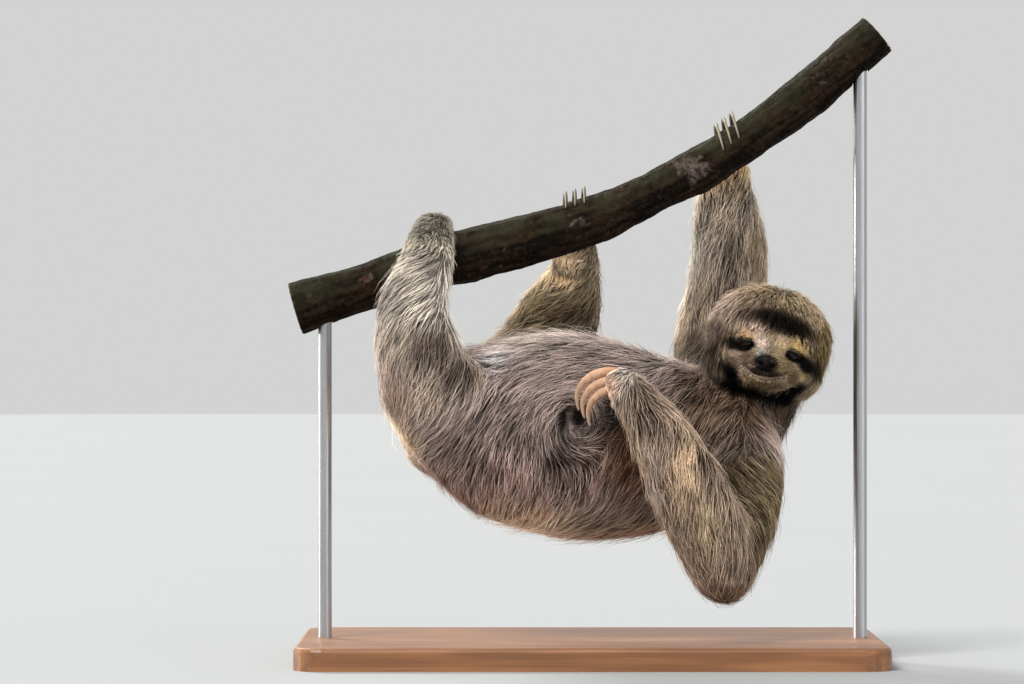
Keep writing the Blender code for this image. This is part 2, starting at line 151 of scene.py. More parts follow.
def merged_copy(node: str, grow: float = 0.0) -> BMesh:
    """Return a node's shape as one connected bmesh.

    Args:
        node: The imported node's name.
        grow: How far its surface is pushed out.

    Returns:
        A new bmesh, which the caller frees.
    """
    bm = bmesh.new()
    bm.from_mesh(NODES[node].data)
    bmesh.ops.remove_doubles(bm, verts=bm.verts, dist=0.01 * MM)
    bm.normal_update()
    if grow:
        for vertex in bm.verts:
            vertex.co += vertex.normal * grow
    return bm


def evaluated(obj: Object) -> Mesh:
    """Return an object's mesh with its modifiers applied."""
    graph = bpy.context.evaluated_depsgraph_get()
    return bpy.data.meshes.new_from_object(obj.evaluated_get(graph))


def fused(meshes: list[BMesh], voxel: float) -> Mesh:
    """Fuse closed shapes into one even skin of quads.

    Args:
        meshes: The shapes, which are freed.
        voxel: Size of the quads.

    Returns:
        The skin as a new mesh.
    """
    joined = bpy.data.meshes.new("joined")
    whole = bmesh.new()
    for bm in meshes:
        bm.to_mesh(joined)
        whole.from_mesh(joined)
        bm.free()
    whole.to_mesh(joined)
    whole.free()
    obj = link_object("joined", joined)
    remesh = obj.modifiers.new("fuse", "REMESH")
    remesh.mode = "VOXEL"
    remesh.voxel_size = voxel
    mesh = evaluated(obj)
    bpy.data.objects.remove(obj, do_unlink=True)
    return mesh


def keep_largest(bm: BMesh) -> None:
    """Delete all but the largest connected shell of a bmesh.

    Args:
        bm: The bmesh, which is changed.
    """
    remaining = set(bm.verts)
    largest: set = set()
    while remaining:
        start = remaining.pop()
        shell = {start}
        stack = [start]
        while stack:
            for edge in stack.pop().link_edges:
                for vertex in edge.verts:
                    if vertex in remaining:
                        remaining.discard(vertex)
                        shell.add(vertex)
                        stack.append(vertex)
        if len(shell) > len(largest):
            largest = shell
    spare = [vertex for vertex in bm.verts if vertex not in largest]
    bmesh.ops.delete(bm, geom=spare, context="VERTS")


def set_attribute(mesh: Mesh, name: str, values: Array) -> None:
    """Store one number or one colour on each vertex of a mesh.

    Args:
        mesh: The mesh.
        name: The attribute's name, which the finishes read.
        values: One number or one colour for each vertex.
    """
    if values.ndim == 1:
        layer = mesh.attributes.new(name, "FLOAT", "POINT")
        layer.data.foreach_set("value", values.astype(np.float32))
        return
    colour = np.ones((len(values), 4), dtype=np.float32)
    colour[:, :3] = values
    mesh.attributes.new(name, "FLOAT_COLOR", "POINT").data.foreach_set("color", colour.ravel())


def dress(piece: Object, material: Material) -> None:
    """Give a new piece its material and the body that it rides on.

    Args:
        piece: The new piece.
        material: Its material.
    """
    piece.data.materials.clear()
    piece.data.materials.append(material)
    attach(piece, "root")


def node_middle(node: str) -> Array:
    """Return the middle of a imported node's box."""
    return np.mean([np.array(corner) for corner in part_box(node)], axis=0)


def oval(local: Array, middle: tuple, size: tuple) -> Array:
    """Return how far points of the head are from the middle of an oval, 1 on its rim.

    Args:
        local: Points in the head's own axes.
        middle: The oval's middle, across and up.
        size: Its half sizes, across and up.

    Returns:
        One number for each point.
    """
    return np.hypot((local[:, 0] - middle[0]) / size[0], (local[:, 2] - middle[1]) / size[1])


@dataclass(frozen=True)
class Place:
    """A point as fractions of a node's box: x to the right, y away, z up."""

    node: str
    x: float
    y: float
    z: float

    def point(self) -> Array:
        """Return the point in metres."""
        low, high = (np.array(corner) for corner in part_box(self.node))
        return low + (high - low) * (self.x, self.y, self.z)


class Surface:
    """A closed triangle surface as arrays, with the sums that run over it."""

    def __init__(self, mesh: Mesh) -> None:
        """Read a mesh's points, faces and edges.

        Args:
            mesh: The mesh, with nothing but triangles.
        """
        self.points = np.empty(len(mesh.vertices) * 3)
        mesh.vertices.foreach_get("co", self.points)
        self.points = self.points.reshape(-1, 3)
        self.faces = np.empty(len(mesh.loops), dtype=np.int64)
        mesh.loops.foreach_get("vertex_index", self.faces)
        self.faces = self.faces.reshape(-1, 3)
        edges = np.empty(len(mesh.edges) * 2, dtype=np.int64)
        mesh.edges.foreach_get("vertices", edges)
        self.edges = edges.reshape(-1, 2)
        self.reach = np.bincount(self.edges.ravel(), minlength=len(self.points))

    def normals(self) -> Array:
        """Return the outward direction at each vertex.

        Returns:
            One direction of length one for each vertex.
        """
        a, b, c = (self.points[self.faces[:, corner]] for corner in range(3))
        cross = np.cross(b - a, c - a)
        total = np.zeros_like(self.points)
        for axis in range(3):
            for corner in range(3):
                total[:, axis] += np.bincount(self.faces[:, corner], cross[:, axis], len(total))
        return unit(total)

    def areas(self) -> Array:
        """Return the area of each face."""
        a, b, c = (self.points[self.faces[:, corner]] for corner in range(3))
        return 0.5 * np.linalg.norm(np.cross(b - a, c - a), axis=1)

    def blur(self, values: Array, rounds: int, share: float | Array = 0.5) -> Array:
        """Return per-vertex values spread over their neighbours.

        Args:
            values: One number or one row for each vertex.
            rounds: How often each value moves to its neighbours' mean.
            share: How far it moves, as one number or one for each vertex.

        Returns:
            The spread values, shaped as they came.
        """
        first, second = self.edges.T
        flat = values.reshape(len(values), -1).astype(float)
        part = np.reshape(share, (-1, 1)) if np.ndim(share) else share
        for _ in range(rounds):
            mean = np.empty_like(flat)
            for column in range(flat.shape[1]):
                total = np.bincount(first, flat[second, column], len(flat))
                total += np.bincount(second, flat[first, column], len(flat))
                mean[:, column] = total / self.reach
            flat = flat * (1.0 - part) + mean * part
        return flat.reshape(values.shape)

    def tree(self) -> BVHTree:
        """Return a search tree over the faces."""
        return BVHTree.FromPolygons(self.points.tolist(), self.faces.tolist())


@dataclass
class HeadFrame:
    """The head's own axes in millimetres: x to the viewer's right, y out of the face, z up."""

    pitch: float = math.radians(8.0)
    eye_forward: float = 41.2
    eye_height: float = 1.0

    def __post_init__(self) -> None:
        """Find the axes from the places of the two eyes."""
        left, right = node_middle("left_eye"), node_middle("right_eye")
        self.across = unit(left - right)
        level = np.array((0.0, -1.0, 0.0))
        level = unit(level - self.across * level.dot(self.across))
        upright = np.cross(level, self.across)
        self.forward = level * math.cos(self.pitch) - upright * math.sin(self.pitch)
        self.up = upright * math.cos(self.pitch) + level * math.sin(self.pitch)
        self.half_spread = 0.5 * float(np.linalg.norm(left - right)) / MM
        reach = self.forward * self.eye_forward + self.up * self.eye_height
        self.origin = 0.5 * (left + right) - reach * MM

    def local(self, points: Array) -> Array:
        """Return points of the scene in the head's own axes."""
        return (points - self.origin) @ np.stack((self.across, self.forward, self.up), axis=1) / MM

    def world(self, directions: Array) -> Array:
        """Return directions in the head's own axes as directions of the scene."""
        return directions @ np.stack((self.across, self.forward, self.up))

    def place(self, point: Triple) -> Array:
        """Return a point of the head's own axes as a point of the scene."""
        return self.origin + self.world(np.asarray(point)) * MM


# ---- shader effects


class Graph:
    """Adds nodes to a shader tree and links them."""

    def __init__(self, tree: NodeTree) -> None:
        """Work on one tree."""
        self.tree = tree

    def add(self, kind: str, inputs: dict | None = None, **settings: object) -> Node:
        """Add a node.

        Args:
            kind: The node's type.
            inputs: Socket names or numbers, each with a value or with the socket to link.
            settings: The node's own settings.

        Returns:
            The new node.
        """
        node = self.tree.nodes.new(kind)
        for name, value in settings.items():
            setattr(node, name, value)
        for key, value in (inputs or {}).items():
            if isinstance(value, NodeSocket):
                self.tree.links.new(value, node.inputs[key])
            else:
                node.inputs[key].default_value = value
        return node

    def math(self, operation: str, *values: object) -> NodeSocket:
        """Return the result of a sum on numbers or sockets."""
        return self.add("ShaderNodeMath", dict(enumerate(values)), operation=operation).outputs[0]

    def mix(self, share: object, first: object, second: object, blend: str = "MIX") -> NodeSocket:
        """Return two colours mixed by a share."""
        inputs = {0: share, 6: first, 7: second}
        return self.add("ShaderNodeMix", inputs, data_type="RGBA", blend_type=blend).outputs[2]

    def remap(
        self, value: object, low: float, high: float, to_low: float, to_high: float
    ) -> NodeSocket:
        """Return a value moved smoothly from one range to another."""
        inputs = {0: value, 1: low, 2: high, 3: to_low, 4: to_high}
        return self.add("ShaderNodeMapRange", inputs, interpolation_type="SMOOTHSTEP").outputs[0]

    def attribute(self, name: str) -> Node:
        """Return the node that reads one attribute of the mesh."""
        return self.add("ShaderNodeAttribute", attribute_name=name)

    def coordinates(
        self, scale: tuple = (1.0, 1.0, 1.0), turn: tuple = (0.0, 0.0, 0.0)
    ) -> NodeSocket:
        """Place object coordinates, stretched and turned.

        Args:
            scale: Stretch along each axis.
            turn: Turn about each axis.

        Returns:
            The coordinates as a vector.
        """
        source = self.add("ShaderNodeTexCoord").outputs["Object"]
        inputs = {"Vector": source, "Scale": scale, "Rotation": turn}
        return self.add("ShaderNodeMapping", inputs).outputs[0]

    def noise(
        self, vector: object, scale: float, detail: float = 3.0, distortion: float = 0.0
    ) -> NodeSocket:
        """Return a noise value from 0 to 1."""
        inputs = {"Vector": vector, "Scale": scale, "Detail": detail, "Distortion": distortion}
        return self.add("ShaderNodeTexNoise", inputs).outputs["Fac"]

    def bump(self, height: object, distance: float, strength: float = 1.0) -> NodeSocket:
        """Return a normal raised by a height."""
        inputs = {"Height": height, "Distance": distance, "Strength": strength}
        return self.add("ShaderNodeBump", inputs).outputs[0]


class Effect:
    """A shader node group, built once and placed in any material."""

    title = "effect"
    takes: tuple[tuple[str, str, object], ...] = ()
    gives: tuple[tuple[str, str], ...] = ()

    def __init__(self) -> None:
        """Make the group's sockets and fill it."""
        self.group = bpy.data.node_groups.new(self.title, "ShaderNodeTree")
        interface = self.group.interface
        for name, kind, default in self.takes:
            socket = interface.new_socket(name, in_out="INPUT", socket_type=f"NodeSocket{kind}")
            if default is not None:
                socket.default_value = default
        for name, kind in self.gives:
            interface.new_socket(name, in_out="OUTPUT", socket_type=f"NodeSocket{kind}")
        graph = Graph(self.group)
        source = graph.add("NodeGroupInput")
        graph.add("NodeGroupOutput", self.fill(graph, source.outputs))

    def fill(self, graph: Graph, takes: NodeOutputs) -> dict:
        """Add the group's nodes and return its outputs by name."""
        raise NotImplementedError

    def use(self, graph: Graph, **inputs: object) -> NodeOutputs:
        """Place the group in a material and return its outputs."""
        named = {name.replace("_", " ").capitalize(): value for name, value in inputs.items()}
        return graph.add("ShaderNodeGroup", named, node_tree=self.group).outputs


class Mottle(Effect):
    """Large and fine patches that lighten and darken a colour."""

    title = "mottle"
    takes = (
        ("Colour", "Color", None),
        ("Vector", "Vector", None),
        ("Scale", "Float", 20.0),
        ("Amount", "Float", 0.2),
    )
    gives = (("Colour", "Color"), ("Mask", "Float"))

    def fill(self, graph: Graph, takes: NodeOutputs) -> dict:
        """Scale the colour's lightness by a noise.

        Args:
            graph: The group's own tree.
            takes: The group's inputs by name.

        Returns:
            The group's outputs by name.
        """
        inputs = {"Vector": takes["Vector"], "Scale": takes["Scale"]}
        inputs |= {"Detail": 4.0, "Roughness": 0.6}
        mask = graph.add("ShaderNodeTexNoise", inputs).outputs["Fac"]
        most = graph.math("MULTIPLY", takes["Amount"], 4.0)
        swing = graph.math("MULTIPLY", graph.math("SUBTRACT", mask, 0.5), most)
        light = graph.math("MAXIMUM", graph.math("ADD", swing, 1.0), 0.05)
        shade = graph.add("ShaderNodeCombineColor", {0: light, 1: light, 2: light}).outputs[0]
        return {"Colour": graph.mix(1.0, takes["Colour"], shade, "MULTIPLY"), "Mask": mask}


class HairGrain(Effect):
    """Fine lying hair, drawn as streaks that break a surface's colour and height."""

    title = "hair grain"
    takes = (("Vector", "Vector", None), ("Scale", "Float", 500.0))
    gives = (("Streaks", "Float"), ("Height", "Float"))

    def fill(self, graph: Graph, takes: NodeOutputs) -> dict:
        """Warp stretched noise so that the streaks wander.

        Args:
            graph: The group's own tree.
            takes: The group's inputs by name.

        Returns:
            The group's outputs by name.
        """
        inputs = {"Vector": takes["Vector"], "Scale": 60.0, "Detail": 2.0}
        wander = graph.add("ShaderNodeTexNoise", inputs).outputs["Color"]
        inputs = {0: wander, 1: (0.006, 0.006, 0.02)}
        warp = graph.add("ShaderNodeVectorMath", inputs, operation="MULTIPLY").outputs[0]
        inputs = {0: takes["Vector"], 1: warp}
        moved = graph.add("ShaderNodeVectorMath", inputs, operation="ADD").outputs[0]
        inputs = {"Vector": moved, "Scale": (1.0, 1.0, 0.22)}
        drawn = graph.add("ShaderNodeMapping", inputs).outputs[0]
        inputs = {"Vector": drawn, "Scale": takes["Scale"], "Detail": 3.0, "Roughness": 0.65}
        streaks = graph.add("ShaderNodeTexNoise", inputs).outputs["Fac"]
        return {"Streaks": graph.remap(streaks, 0.34, 0.66, 0.0, 1.0), "Height": streaks}


class StrandTint(Effect):
    """Colour of one hair lock: darkened towards the root as painted shade deep in the coat, pale
    with a painted glint at the tips of the brightest strands, and unlike its neighbours.
    """

    title = "strand tint"
    takes = (
        ("Colour", "Color", None),
        ("Cream", "Color", None),
        ("Along", "Float", 0.5),
        ("Tone", "Float", 0.5),
        ("Root shade", "Float", 0.3),
        ("Tip light", "Float", 1.25),
    )
    gives = (("Colour", "Color"), ("Mask", "Float"))

    def fill(self, graph: Graph, takes: NodeOutputs) -> dict:
        """Scale the colour along the strand, as painted shade towards the root, and from strand to
        strand.

        Args:
            graph: The group's own tree.
            takes: The group's inputs by name.

        Returns:
            The group's outputs by name.
        """
        # Painted shade: the colour falls from tip_light at the tip to root_shade at the root,
        # standing in for shade deep in the coat.
        rise = graph.remap(takes["Along"], 0.05, 0.62, 0.0, 1.0)
        span = graph.math("SUBTRACT", takes["Tip light"], takes["Root shade"])
        along = graph.math("ADD", takes["Root shade"], graph.math("MULTIPLY", rise, span))
        inputs = {0: takes["Tone"], 1: 0.0, 2: 1.0, 3: -0.12, 4: 3.0}
        tone = graph.add("ShaderNodeMapRange", inputs).outputs[0]
        light = graph.math("MULTIPLY", along, graph.math("MAXIMUM", tone, 0.05))
        shade = graph.add("ShaderNodeCombineColor", {0: light, 1: light, 2: light}).outputs[0]
        tinted = graph.mix(1.0, takes["Colour"], shade, "MULTIPLY")
        # Painted glint: the brightest strands turn towards cream near their tips, partly their pale
        # tips and partly a painted glint.
        bright = graph.remap(takes["Tone"], 0.6, 1.0, 0.0, 0.45)
        shine = graph.math("MULTIPLY", bright, takes["Along"])
        bulk = graph.add("ShaderNodeRGBToBW", {"Color": takes["Colour"]}).outputs[0]
        pale = graph.math("MULTIPLY", shine, graph.remap(bulk, 0.02, 0.12, 0.0, 1.0))
        return {"Colour": graph.mix(pale, tinted, takes["Cream"]), "Mask": along}


class Effects:
    """The shared effects, each built once."""

    def __init__(self) -> None:
        """Build every group."""
        self.mottle = Mottle()
        self.hair_grain = HairGrain()
        self.strand_tint = StrandTint()


# ---- finishes


@dataclass(frozen=True)
class Finish:
    """A material made from shader nodes."""

    name: str

    def make(self, effects: Effects) -> Material:
        """Build the material.

        Args:
            effects: The shared effects.

        Returns:
            The new material.
        """
        material = bpy.data.materials.new(self.name)
        material.use_nodes = True
        graph = Graph(material.node_tree)
        shader = material.node_tree.nodes["Principled BSDF"]
        for key, value in self.draw(graph, effects).items():
            if isinstance(value, NodeSocket):
                graph.tree.links.new(value, shader.inputs[key])
            else:
                shader.inputs[key].default_value = value
        return material

    def draw(self, graph: Graph, effects: Effects) -> dict:
        """Add the nodes and return the shader's inputs by name."""
        raise NotImplementedError


@dataclass(frozen=True)
class CoatFinish(Finish):
    """Dry hair in the colours of the coat's markings, with painted shade towards the roots and a
    painted glint on the brightest tips.
    """

    # root_shade and tip_light: painted shade deep in the coat, darker towards each root. cream: pale
    # tips of the brightest strands with a painted glint.
    root_shade: float = 0.20
    tip_light: float = 1.30
    cream: tuple = (216, 206, 192)

    def draw(self, graph: Graph, effects: Effects) -> dict:
        """Tint each strand from its mark, its place along itself and its tone.

        Args:
            graph: The material's tree.
            effects: The shared effects.

        Returns:
            The shader's inputs by name.
        """
        tint = effects.strand_tint.use(
            graph,
            colour=graph.attribute("mark").outputs["Color"],
            cream=rgba(self.cream),
            along=graph.attribute("along").outputs["Fac"],
            tone=graph.attribute("tone").outputs["Fac"],
            root_shade=self.root_shade,
            tip_light=self.tip_light,
        )
        mottled = effects.mottle.use(
            graph, colour=tint["Colour"], vector=graph.coordinates(), scale=45.0, amount=0.16
        )
        rough = graph.remap(tint["Mask"], 0.3, 1.2, 0.78, 0.52)
        return {
            "Base Color": mottled["Colour"],
            "Roughness": rough,
            "Specular IOR Level": 0.10,
        }


@dataclass(frozen=True)
class SkinFinish(Finish):
    """Skin under the coat: darkened between the hairs, partly its own darker colour and partly
    painted shade, bare and leathery on nose, lids and lips.
    """

    under_coat_dark_and_shade: float = 0.55

    def draw(self, graph: Graph, effects: Effects) -> dict:
        """Darken the marks by fine streaks, partly darker skin and partly painted shade between the
        hairs, and leave the bare places pebbled.

        Args:
            graph: The material's tree.
            effects: The shared effects.

        Returns:
            The shader's inputs by name.
        """
        mark = graph.attribute("mark").outputs["Color"]
        bare = graph.attribute("bare").outputs["Fac"]
        grain = effects.hair_grain.use(graph, vector=graph.coordinates(), scale=560.0)
        # Painted shade: the furred skin is darkened to a share of its mark, for the shade between
        # the hairs as well as its darker colour.
        least, most = self.under_coat_dark_and_shade * 0.45, self.under_coat_dark_and_shade * 1.5
        level = graph.remap(grain["Streaks"], 0.0, 1.0, least, most)
        shade = graph.add("ShaderNodeCombineColor", {0: level, 1: level, 2: level}).outputs[0]
        furred = graph.mix(1.0, mark, shade, "MULTIPLY")
        mottled = effects.mottle.use(
            graph, colour=mark, vector=graph.coordinates(), scale=420.0, amount=0.14
        )
        inputs = {"Vector": graph.coordinates(), "Scale": 900.0}
        cells = graph.add("ShaderNodeTexVoronoi", inputs).outputs["Distance"]
        pebbles = graph.math("MULTIPLY", cells, bare)
        hairs = graph.math("MULTIPLY", grain["Height"], graph.math("SUBTRACT", 1.0, bare))
        height = graph.math("ADD", graph.math("MULTIPLY", pebbles, 0.8), hairs)
        return {
            "Base Color": graph.mix(bare, furred, mottled["Colour"]),
            "Roughness": graph.remap(bare, 0.0, 1.0, 0.8, 0.62),
            "Normal": graph.bump(height, 0.0005, 0.8),
            "Specular IOR Level": 0.09,
        }


@dataclass(frozen=True)
class HornFinish(Finish):
    """Worn horn of a claw, darker at the root and streaked along its length."""

    root: tuple = (168, 122, 92)
    body: tuple = (208, 168, 138)
    tip: tuple = (222, 192, 164)

    def draw(self, graph: Graph, effects: Effects) -> dict:
        """Blend three tones along the claw and scratch them lightly.

        Args:
            graph: The material's tree.
            effects: The shared effects.

        Returns:
            The shader's inputs by name.
        """
        along = graph.attribute("along").outputs["Fac"]
        lower = graph.mix(graph.remap(along, 0.0, 0.42, 0.0, 1.0), rgba(self.root), rgba(self.body))
        colour = graph.mix(graph.remap(along, 0.6, 1.0, 0.0, 1.0), lower, rgba(self.tip))
        around = graph.attribute("round").outputs["Fac"]
        inputs = {0: graph.math("MULTIPLY", along, 1.6), 1: around}
        track = graph.add("ShaderNodeCombineXYZ", inputs).outputs[0]
        lines = graph.noise(track, 9.0, 5.0)
        streaks = graph.noise(track, 5.0, 3.0, 0.6)
        streaked = graph.mix(graph.remap(streaks, 0.40, 0.66, 0.0, 0.55), colour, rgba(self.root))
        mottled = effects.mottle.use(graph, colour=streaked, vector=track, scale=7.0, amount=0.18)
        return {
            "Base Color": mottled["Colour"],
            "Roughness": graph.remap(lines, 0.3, 0.7, 0.42, 0.62),
            "Normal": graph.bump(lines, 0.0003, 0.7),
            "Subsurface Weight": 0.08,
            "Subsurface Radius": (0.002, 0.0012, 0.0008),
            "Specular IOR Level": 0.26,
        }


@dataclass(frozen=True)
class EyeFinish(Finish):
    """A wet dark eye: a black pupil in a deep brown ring."""

    ring: tuple = (30, 18, 12)
    rim: tuple = (14, 9, 7)
    pupil: tuple = (0.002, 0.002, 0.002, 1.0)

    def draw(self, graph: Graph, effects: Effects) -> dict:
        """Ring the pupil by how far the surface turns from the gaze.

        Args:
            graph: The material's tree.
            effects: The shared effects.

        Returns:
            The shader's inputs by name.
        """
        gaze = graph.attribute("gaze").outputs["Fac"]
        fibres = effects.mottle.use(
            graph, colour=rgba(self.ring), vector=graph.coordinates(), scale=1500.0, amount=0.3
        )
        iris = graph.mix(graph.remap(gaze, 0.86, 0.90, 0.0, 1.0), fibres["Colour"], self.pupil)
        colour = graph.mix(graph.remap(gaze, 0.50, 0.62, 1.0, 0.0), iris, rgba(self.rim))
        return {
            "Base Color": colour,
            "Roughness": graph.remap(fibres["Mask"], 0.3, 0.7, 0.07, 0.12),
            "Specular IOR Level": 0.24,
        }


@dataclass(frozen=True)
class BarkFinish(Finish):
    """Dark damp bark with a green bloom on top and pale lichen."""

    deep: tuple = (12, 8, 5)
    ridge: tuple = (43, 31, 22)
    bloom: tuple = (46, 45, 32)
    lichen: tuple = (98, 87, 82)
    knot: tuple = (62, 38, 28)

    def draw(self, graph: Graph, effects: Effects) -> dict:
        """Layer cracks, ridges, bloom and lichen over the bark.

        Args:
            graph: The material's tree.
            effects: The shared effects.

        Returns:
            The shader's inputs by name.
        """
        flat = graph.coordinates()
        crack = graph.attribute("crack").outputs["Fac"]
        upward = graph.attribute("upward").outputs["Fac"]
        fine = graph.noise(flat, 260.0, 6.0, 0.6)
        broad = graph.noise(flat, 38.0, 4.0, 0.4)
        split = graph.math("MULTIPLY", crack, 0.3)
        level = graph.math("ADD", graph.math("MULTIPLY", fine, 0.9), split)
        raised = graph.remap(level, 0.40, 0.95, 0.0, 1.0)
        # The cracks and low places take the near-black deep colour: painted shade in the furrows as
        # well as their darker bark.
        bark = graph.mix(raised, rgba(self.deep), rgba(self.ridge))
        top = graph.remap(upward, -0.35, 0.8, 0.0, 0.85)
        green = graph.math("MULTIPLY", top, graph.remap(broad, 0.38, 0.6, 0.15, 1.0))
        damp = graph.mix(green, bark, rgba(self.bloom))
        blotch = graph.attribute("lichen").outputs["Fac"]
        spots = graph.math("ADD", graph.noise(flat, 70.0, 5.0, 1.2), blotch)
        crust = graph.remap(spots, 0.62, 0.84, 0.0, 1.0)
        ragged = graph.math("MULTIPLY", crust, graph.remap(fine, 0.36, 0.60, 0.2, 1.0))
        grown = graph.mix(graph.math("MULTIPLY", ragged, 0.7), damp, rgba(self.lichen))
        knot = graph.attribute("knot").outputs["Fac"]
        scar = graph.math("MULTIPLY", knot, graph.remap(fine, 0.40, 0.60, 0.2, 1.0))
        knotted = graph.mix(scar, grown, rgba(self.knot))
        colour = effects.mottle.use(graph, colour=knotted, vector=flat, scale=120.0, amount=0.2)
        wrinkles = graph.noise(graph.coordinates((3.2, 0.8, 0.8)), 190.0, 3.0, 0.5)
        relief = graph.math("MULTIPLY_ADD", wrinkles, 0.7, fine)
        height = graph.math("ADD", relief, graph.math("MULTIPLY", ragged, 0.3))
        return {
            "Base Color": colour["Colour"],
            "Roughness": graph.remap(fine, 0.3, 0.7, 0.95, 0.72),
            "Normal": graph.bump(height, 0.0011, 0.9),
            "Specular IOR Level": 0.06,
        }


@dataclass(frozen=True)
class SawnFinish(Finish):
    """The branch's sawn ends: pale wood with rings, darker towards the bark."""

    pale: tuple = (190, 158, 116)
    ring: tuple = (142, 104, 68)
    outer: tuple = (70, 50, 34)
    radius: float = 17.0 * MM
    ring_gap: float = 2.1 * MM
    ring_wobble: float = 2.2 * MM

    def draw(self, graph: Graph, effects: Effects) -> dict:
        """Draw rings by the distance from the branch's middle.

        Args:
            graph: The material's tree.
            effects: The shared effects.

        Returns:
            The shader's inputs by name.
        """
        core = graph.attribute("core").outputs["Fac"]
        wobble = graph.noise(graph.coordinates(), 60.0, 3.0)
        wobble = graph.math("MULTIPLY", wobble, self.ring_wobble)
        phase = graph.math("MULTIPLY", graph.math("ADD", core, wobble), math.tau / self.ring_gap)
        wave = graph.math("SINE", phase)
        wood = graph.mix(graph.remap(wave, -0.2, 1.0, 0.0, 0.8), rgba(self.pale), rgba(self.ring))
        edge = graph.remap(core, self.radius * 0.82, self.radius * 0.98, 0.0, 1.0)
        rimmed = graph.mix(edge, wood, rgba(self.outer))
        colour = effects.mottle.use(
            graph, colour=rimmed, vector=graph.coordinates(), scale=150.0, amount=0.14
        )
        saw = graph.noise(graph.coordinates((1.0, 1.0, 9.0)), 160.0, 4.0)
        return {
            "Base Color": colour["Colour"],
            "Roughness": graph.remap(saw, 0.3, 0.7, 0.62, 0.85),
            "Normal": graph.bump(saw, 0.0004, 0.7),
        }


@dataclass(frozen=True)
class BoardFinish(Finish):
    """Oiled dark wood with grain along the board."""

    light: tuple = (146, 98, 62)
    dark: tuple = (84, 52, 32)

    def draw(self, graph: Graph, effects: Effects) -> dict:
        """Stretch noise along the board for its grain and pores.

        Args:
            graph: The material's tree.
            effects: The shared effects.

        Returns:
            The shader's inputs by name.
        """
        broad = graph.noise(graph.coordinates((0.35, 5.0, 5.0)), 6.0, 2.0, 0.3)
        pores = graph.noise(graph.coordinates((0.3, 26.0, 26.0)), 30.0, 4.0)
        figure = graph.math("SINE", graph.math("MULTIPLY", broad, 40.0))
        grain = graph.remap(figure, -1.0, 1.0, 0.0, 0.45)
        wood = graph.mix(grain, rgba(self.light), rgba(self.dark))
        pored = graph.mix(graph.remap(pores, 0.52, 0.68, 0.0, 0.5), wood, rgba(self.dark))
        colour = effects.mottle.use(
            graph, colour=pored, vector=graph.coordinates(), scale=12.0, amount=0.1
        )
        return {
            "Base Color": colour["Colour"],
            "Roughness": graph.remap(pores, 0.35, 0.7, 0.34, 0.55),
            "Normal": graph.bump(pores, 0.0002, 0.5),
            "Specular IOR Level": 0.45,
        }


@dataclass(frozen=True)
class SteelFinish(Finish):
    """Brushed steel rod, drawn along its length."""

    tone: tuple = (176, 177, 180)

    def draw(self, graph: Graph, effects: Effects) -> dict:
        """Brush the metal lengthwise.

        Args:
            graph: The material's tree.
            effects: The shared effects.

        Returns:
            The shader's inputs by name.
        """
        brush = graph.noise(graph.coordinates((1.0, 1.0, 0.015)), 1400.0, 4.0)
        drawn = graph.coordinates((1.0, 1.0, 0.3))
        colour = effects.mottle.use(
            graph, colour=rgba(self.tone), vector=drawn, scale=60.0, amount=0.08
        )
        return {
            "Base Color": colour["Colour"],
            "Metallic": 1.0,
            "Roughness": graph.remap(brush, 0.3, 0.7, 0.26, 0.40),
            "Normal": graph.bump(brush, 0.00006, 0.6),
        }


@dataclass(frozen=True)
class FloorFinish(Finish):
    """Plain pale studio floor."""

    tone: tuple = (158, 160, 161)

    def draw(self, graph: Graph, effects: Effects) -> dict:
        """Vary a pale tone a very little.

        Args:
            graph: The material's tree.
            effects: The shared effects.

        Returns:
            The shader's inputs by name.
        """
        colour = effects.mottle.use(
            graph, colour=rgba(self.tone), vector=graph.coordinates(), scale=1.4, amount=0.012
        )
        return {"Base Color": colour["Colour"], "Roughness": 0.85, "Specular IOR Level": 0.2}


# ---- coat design


@dataclass(frozen=True)
class CoatStyle:
    """How the coat grows on one part: sizes in millimetres, tufts to a square centimetre."""

    depth: float
    length: float
    width: float
    density: float
    lie: Triple
    colour: Triple


@dataclass(frozen=True)
class Guide:
    """Turns the lie of the coat near a place (reach in millimetres)."""

    place: Place
    towards: Triple
    reach: float


@dataclass(frozen=True)
class Swirl:
    """Turns the lie of the coat round a place, as seen from in front (reach in millimetres)."""

    place: Place
    reach: float
    pull: float


@dataclass(frozen=True)
class Hollow:
    """Presses the skin in at a place (half sizes and depth in millimetres)."""

    place: Place
    radii: Triple
    depth: float


@dataclass(frozen=True)
class Patch:
    """A patch of colour on one part, fading over its half sizes (millimetres)."""

    place: Place
    radii: Triple
    colour: Triple
    strength: float


@dataclass(frozen=True)
class FacePatch:
    """A patch of colour in the head's own axes, turned in the plane of the face (mm, degrees)."""

    centre: Triple
    radii: Triple
    colour: Triple
    strength: float
    turn: float = 0.0
    soft: float = 0.5


